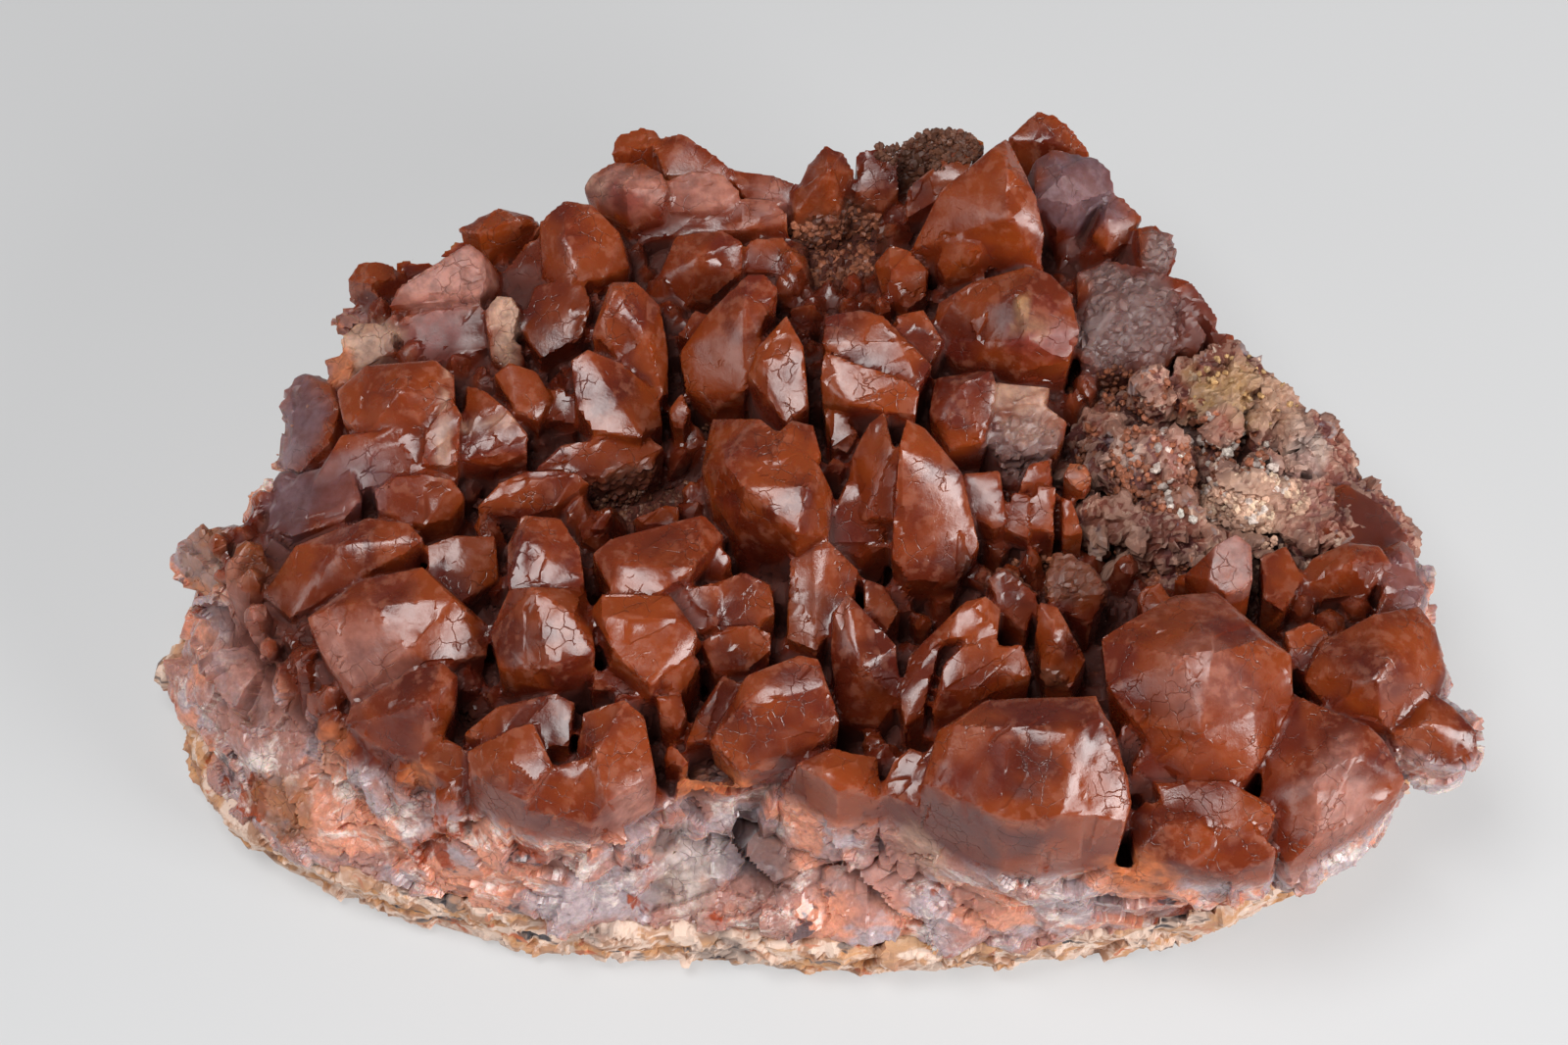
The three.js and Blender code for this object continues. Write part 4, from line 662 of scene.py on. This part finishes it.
def rock_material():
    s = Shader("host_rock")
    ridge, hollow = s.value("ridge"), s.value("hollow")
    split = s.tree.nodes.new("ShaderNodeSeparateXYZ")
    s.join(s.place, split.inputs[0])
    high = s.between(split.outputs[2], 12 / MM, 17 / MM)
    body = s.mix(high, band_colour(s), mound_colour(s))
    colour, share = s.tint()
    stone = s.mix(s.between(s.noise(1.4, 4, 0.65), 0.3, 0.7), s.mix(0.55, colour, (0.10, 0.03, 0.02)), colour)
    body = s.mix(share, body, stone)
    # Painted shade: darker in the hollows.
    body = s.mix(s.between(hollow, 0.15, 1.1, 0, 0.85), body, (0.035, 0.012, 0.008))
    body = s.mix(s.maths("MULTIPLY", s.between(ridge, 0.04, 0.14), 0.25), body, (0.55, 0.36, 0.26))
    s.put("Base Color", body)
    s.put("Roughness", s.between(s.noise(1.5, 3), 0.3, 0.7, 0.45, 0.8))
    normal = s.bump(s.noise(0.9, 5, 0.7), 0.20, 0.7)
    s.put("Normal", s.bump(s.noise(0.25, 3, 0.6), 0.06, 0.6, normal))
    s.put("Subsurface Weight", 0.08)
    s.put("Subsurface Radius", (1.0, 0.6, 0.4))
    s.put("Subsurface Scale", 1.2 / MM)
    return s.material


def crumb_material():
    s = Shader("crumbs")
    colour, _ = s.tint()
    dark = s.mix(0.5, colour, (0.08, 0.022, 0.013))
    s.put("Base Color", s.mix(s.between(s.noise(0.5, 3, 0.6), 0.35, 0.6), dark, colour))
    s.put("Roughness", s.between(s.noise(0.8, 2), 0.3, 0.7, 0.4, 0.75))
    s.put("Normal", s.bump(s.noise(0.3, 3, 0.6), 0.05, 0.6))
    return s.material


# ---------------------------------------------------------------- pieces
def small_crystal(random):
    """A six-sided pointed crystal about the origin, with its faces."""
    radius = random.uniform(INFILL["thin"], INFILL["thick"])
    height = random.uniform(INFILL["low"], INFILL["high"])
    angles = random.uniform(0, math.tau) + np.arange(6) * math.tau / 6
    ring = np.column_stack([np.cos(angles), np.sin(angles)]) * radius * random.uniform(0.8, 1.2, (6, 1))
    foot = np.column_stack([ring, np.full(6, INFILL["foot"])])
    shoulder = np.column_stack([ring, height - radius * random.uniform(0.9, 1.5, 6)])
    tip = np.array([[*random.uniform(-0.3, 0.3, 2) * radius, height]])
    lean = Euler((random.normal(0, 0.16), random.normal(0, 0.16), 0)).to_matrix()
    faces = []
    for k in range(6):
        after = (k + 1) % 6
        faces += [(k, after, 6 + after), (k, 6 + after, 6 + k), (6 + k, 6 + after, 12)]
    faces += [(0, k + 1, k) for k in range(1, 5)]
    return np.concatenate([foot, shoulder, tip]) @ np.array(lean).T, np.array(faces)


def in_crumbs(source, places):
    """Whether each place lies where loose crumbs cover the ground."""
    covered = np.zeros(len(places), bool)
    for u, v, wide, deep, count, *_ in CRUMB_ZONES:
        if count < WIDE_SCATTER:
            away = (places - source.seen(u, v)[:2]) / np.array([wide, deep / 0.82])
            covered |= np.linalg.norm(away, axis=1) < 0.9
    return covered


def with_infill(points, triangles):
    """The crystals with small ones added in the gaps between them."""
    source = Source(points, triangles)
    random = np.random.default_rng(21)
    places = random.uniform(RIM.min(axis=0), RIM.max(axis=0), (INFILL["tries"], 2))
    free = (inside_rim(places) > 1.2) & ~in_crumbs(source, places)
    taken = []
    for place in places[free]:
        ground = ground_height(place[1])
        on_floor = abs(source.top(*place) - ground) < 1.6
        if not on_floor or any(np.linalg.norm(place - other) < INFILL["apart"] for other in taken):
            continue
        taken.append(place)
        shape, faces = small_crystal(random)
        triangles = np.concatenate([triangles, faces + len(points)])
        points = np.concatenate([points, shape + np.array([*place, ground])])
    return points, triangles


def dress(node, relief, count, zones, material, voxel=VOXEL, grown=None):
    points, triangles = arrays_of(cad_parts[node].data)
    points = points * MM
    if grown:
        points, triangles = grown(points, triangles)
    points, triangles, source = refined(points, triangles, relief, count, voxel)
    piece = marked(node + "_surface", points, triangles, source, zones)
    piece.data.materials.append(material)
    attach(piece, "root")
    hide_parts(node)
    return piece


def icosahedron():
    work = bmesh.new()
    bmesh.ops.create_icosphere(work, subdivisions=1, radius=1)
    points = np.array([list(vert.co) for vert in work.verts])
    faces = np.array([[vert.index for vert in face.verts] for face in work.faces])
    work.free()
    return points, faces


def turned(points, random):
    """The points turned at random about all three axes."""
    turn = Euler(random.uniform(0, math.tau, 3)).to_matrix()
    return points @ np.array(turn).T


def add_crumbs(material):
    """Loose angular grains, each resting where a line of sight meets the surface."""
    parts = [arrays_of(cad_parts[node].data) for node in ("quartz_crystals", "lone_crystal", "matrix")]
    starts = np.cumsum([0] + [len(points) for points, _ in parts])
    whole = Source(
        np.concatenate([points * MM for points, _ in parts]),
        np.concatenate([triangles + start for (_, triangles), start in zip(parts, starts)]),
    )
    random = np.random.default_rng(8)
    shape, faces = icosahedron()
    corners, tints = [], []
    for u, v, wide, deep, count, size, tint, climb in CRUMB_ZONES:
        for _ in range(count):
            angle, reach = random.uniform(0, math.tau), math.sqrt(random.uniform())
            place = whole.struck(u + wide * reach * math.cos(angle), v + deep * reach * math.sin(angle))
            if place is None or not CRUMB_LEVEL < place[2] < ground_height(place[1]) + climb:
                continue
            scale = size * random.uniform(0.45, 1.25) * random.uniform(0.6, 1.1, 3)
            grain = turned(shape * random.uniform(0.8, 1.2, (len(shape), 1)) * scale, random)
            corners.append(place + grain)
            tints.append(np.clip(np.array(TINTS[tint]) * random.uniform(0.55, 1.5), 0, 0.8))
    steps = np.arange(len(corners))[:, None, None] * len(shape)
    piece = new_object("crumbs", np.concatenate(corners) / MM, (faces + steps).reshape(-1, 3))
    add_tint(piece.data, np.repeat(tints, len(shape), axis=0), np.ones(len(corners) * len(shape)))
    piece.data.materials.append(material)
    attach(piece, "root")


def lone_relief(points, normals, planes, source):
    return growth_steps(points, normals, planes) * 0.5 + 0.1 * layered_noise(points, 4, 15)


# ---------------------------------------------------------------- studio
def add_floor():
    half = 2.5
    floor = new_object("floor", np.array([
        [-half, -half, 0], [half, -half, 0], [half, half, 0], [-half, half, 0],
    ]), [(0, 1, 2, 3)])
    s = Shader("studio_floor")
    s.put("Base Color", s.mix(s.between(s.noise(400.0, 2), 0.3, 0.7), (0.24, 0.242, 0.244), (0.26, 0.262, 0.264)))
    # Painted light: the floor glows, brighter towards the front right, which lights that side and weakens the shadows.
    s.put("Emission Color", (1.0, 1.0, 1.005))
    split = s.tree.nodes.new("ShaderNodeSeparateXYZ")
    s.join(s.place, split.inputs[0])
    painted_floor_light = s.maths("MULTIPLY_ADD", split.outputs[0], 0.36, 0.425)
    painted_floor_light = s.maths("MULTIPLY_ADD", split.outputs[1], -0.46, painted_floor_light)
    s.put("Emission Strength", s.maths("MINIMUM", s.maths("MAXIMUM", painted_floor_light, 0.24), 0.58))
    s.put("Roughness", 0.6)
    s.put("Specular IOR Level", 0.2)
    floor.data.materials.append(s.material)


def add_light(name, place, aim, size, power, colour=(1, 1, 1)):
    light = bpy.data.lights.new(name, "AREA")
    light.shape = "RECTANGLE"
    light.size, light.size_y = size
    light.energy = power
    light.color = colour
    made = bpy.data.objects.new(name, light)
    made.location = place
    made.rotation_euler = (Vector(aim) - Vector(place)).to_track_quat("-Z", "Y").to_euler()
    bpy.context.scene.collection.objects.link(made)


def add_studio():
    add_floor()
    add_light("softbox", (-0.24, -0.21, 0.95), (0, 0, 0.03), (0.46, 0.42), 6.9)
    add_light("right", (0.80, -0.55, 0.42), (0.04, -0.05, 0), (0.5, 0.4), 9.5)
    add_light("left", (-0.90, -0.40, 0.50), (0, 0, 0.03), (0.4, 0.4), 1.8)
    world = bpy.data.worlds.new("studio")
    world.use_nodes = True
    background = world.node_tree.nodes["Background"]
    background.inputs["Color"].default_value = (0.93, 0.96, 1.0, 1)
    background.inputs["Strength"].default_value = 0.16
    bpy.context.scene.world = world
    bpy.context.scene.view_settings.view_transform = "Standard"


def add_camera():
    camera = bpy.data.cameras.new("camera")
    camera.sensor_width = 36
    camera.lens = LENS
    camera.clip_end = 20
    made = bpy.data.objects.new("camera", camera)
    made.location = EYE / MM
    made.rotation_euler = (math.pi / 2 - ELEVATION, 0, 0)
    bpy.context.scene.collection.objects.link(made)
    bpy.context.scene.camera = made


def main():
    add_camera()
    add_studio()
    quartz = quartz_material()
    dress(
        "quartz_crystals", crust_relief, CRUST_TRIANGLES, CRUST_ZONES, quartz, grown=with_infill
    )
    dress("lone_crystal", lone_relief, LONE_TRIANGLES, [(52, -14, 5, 6, "pink", 0.55)], quartz, 0.2)
    dress("matrix", rock_relief, ROCK_TRIANGLES, ROCK_ZONES, rock_material())
    add_crumbs(crumb_material())


main()
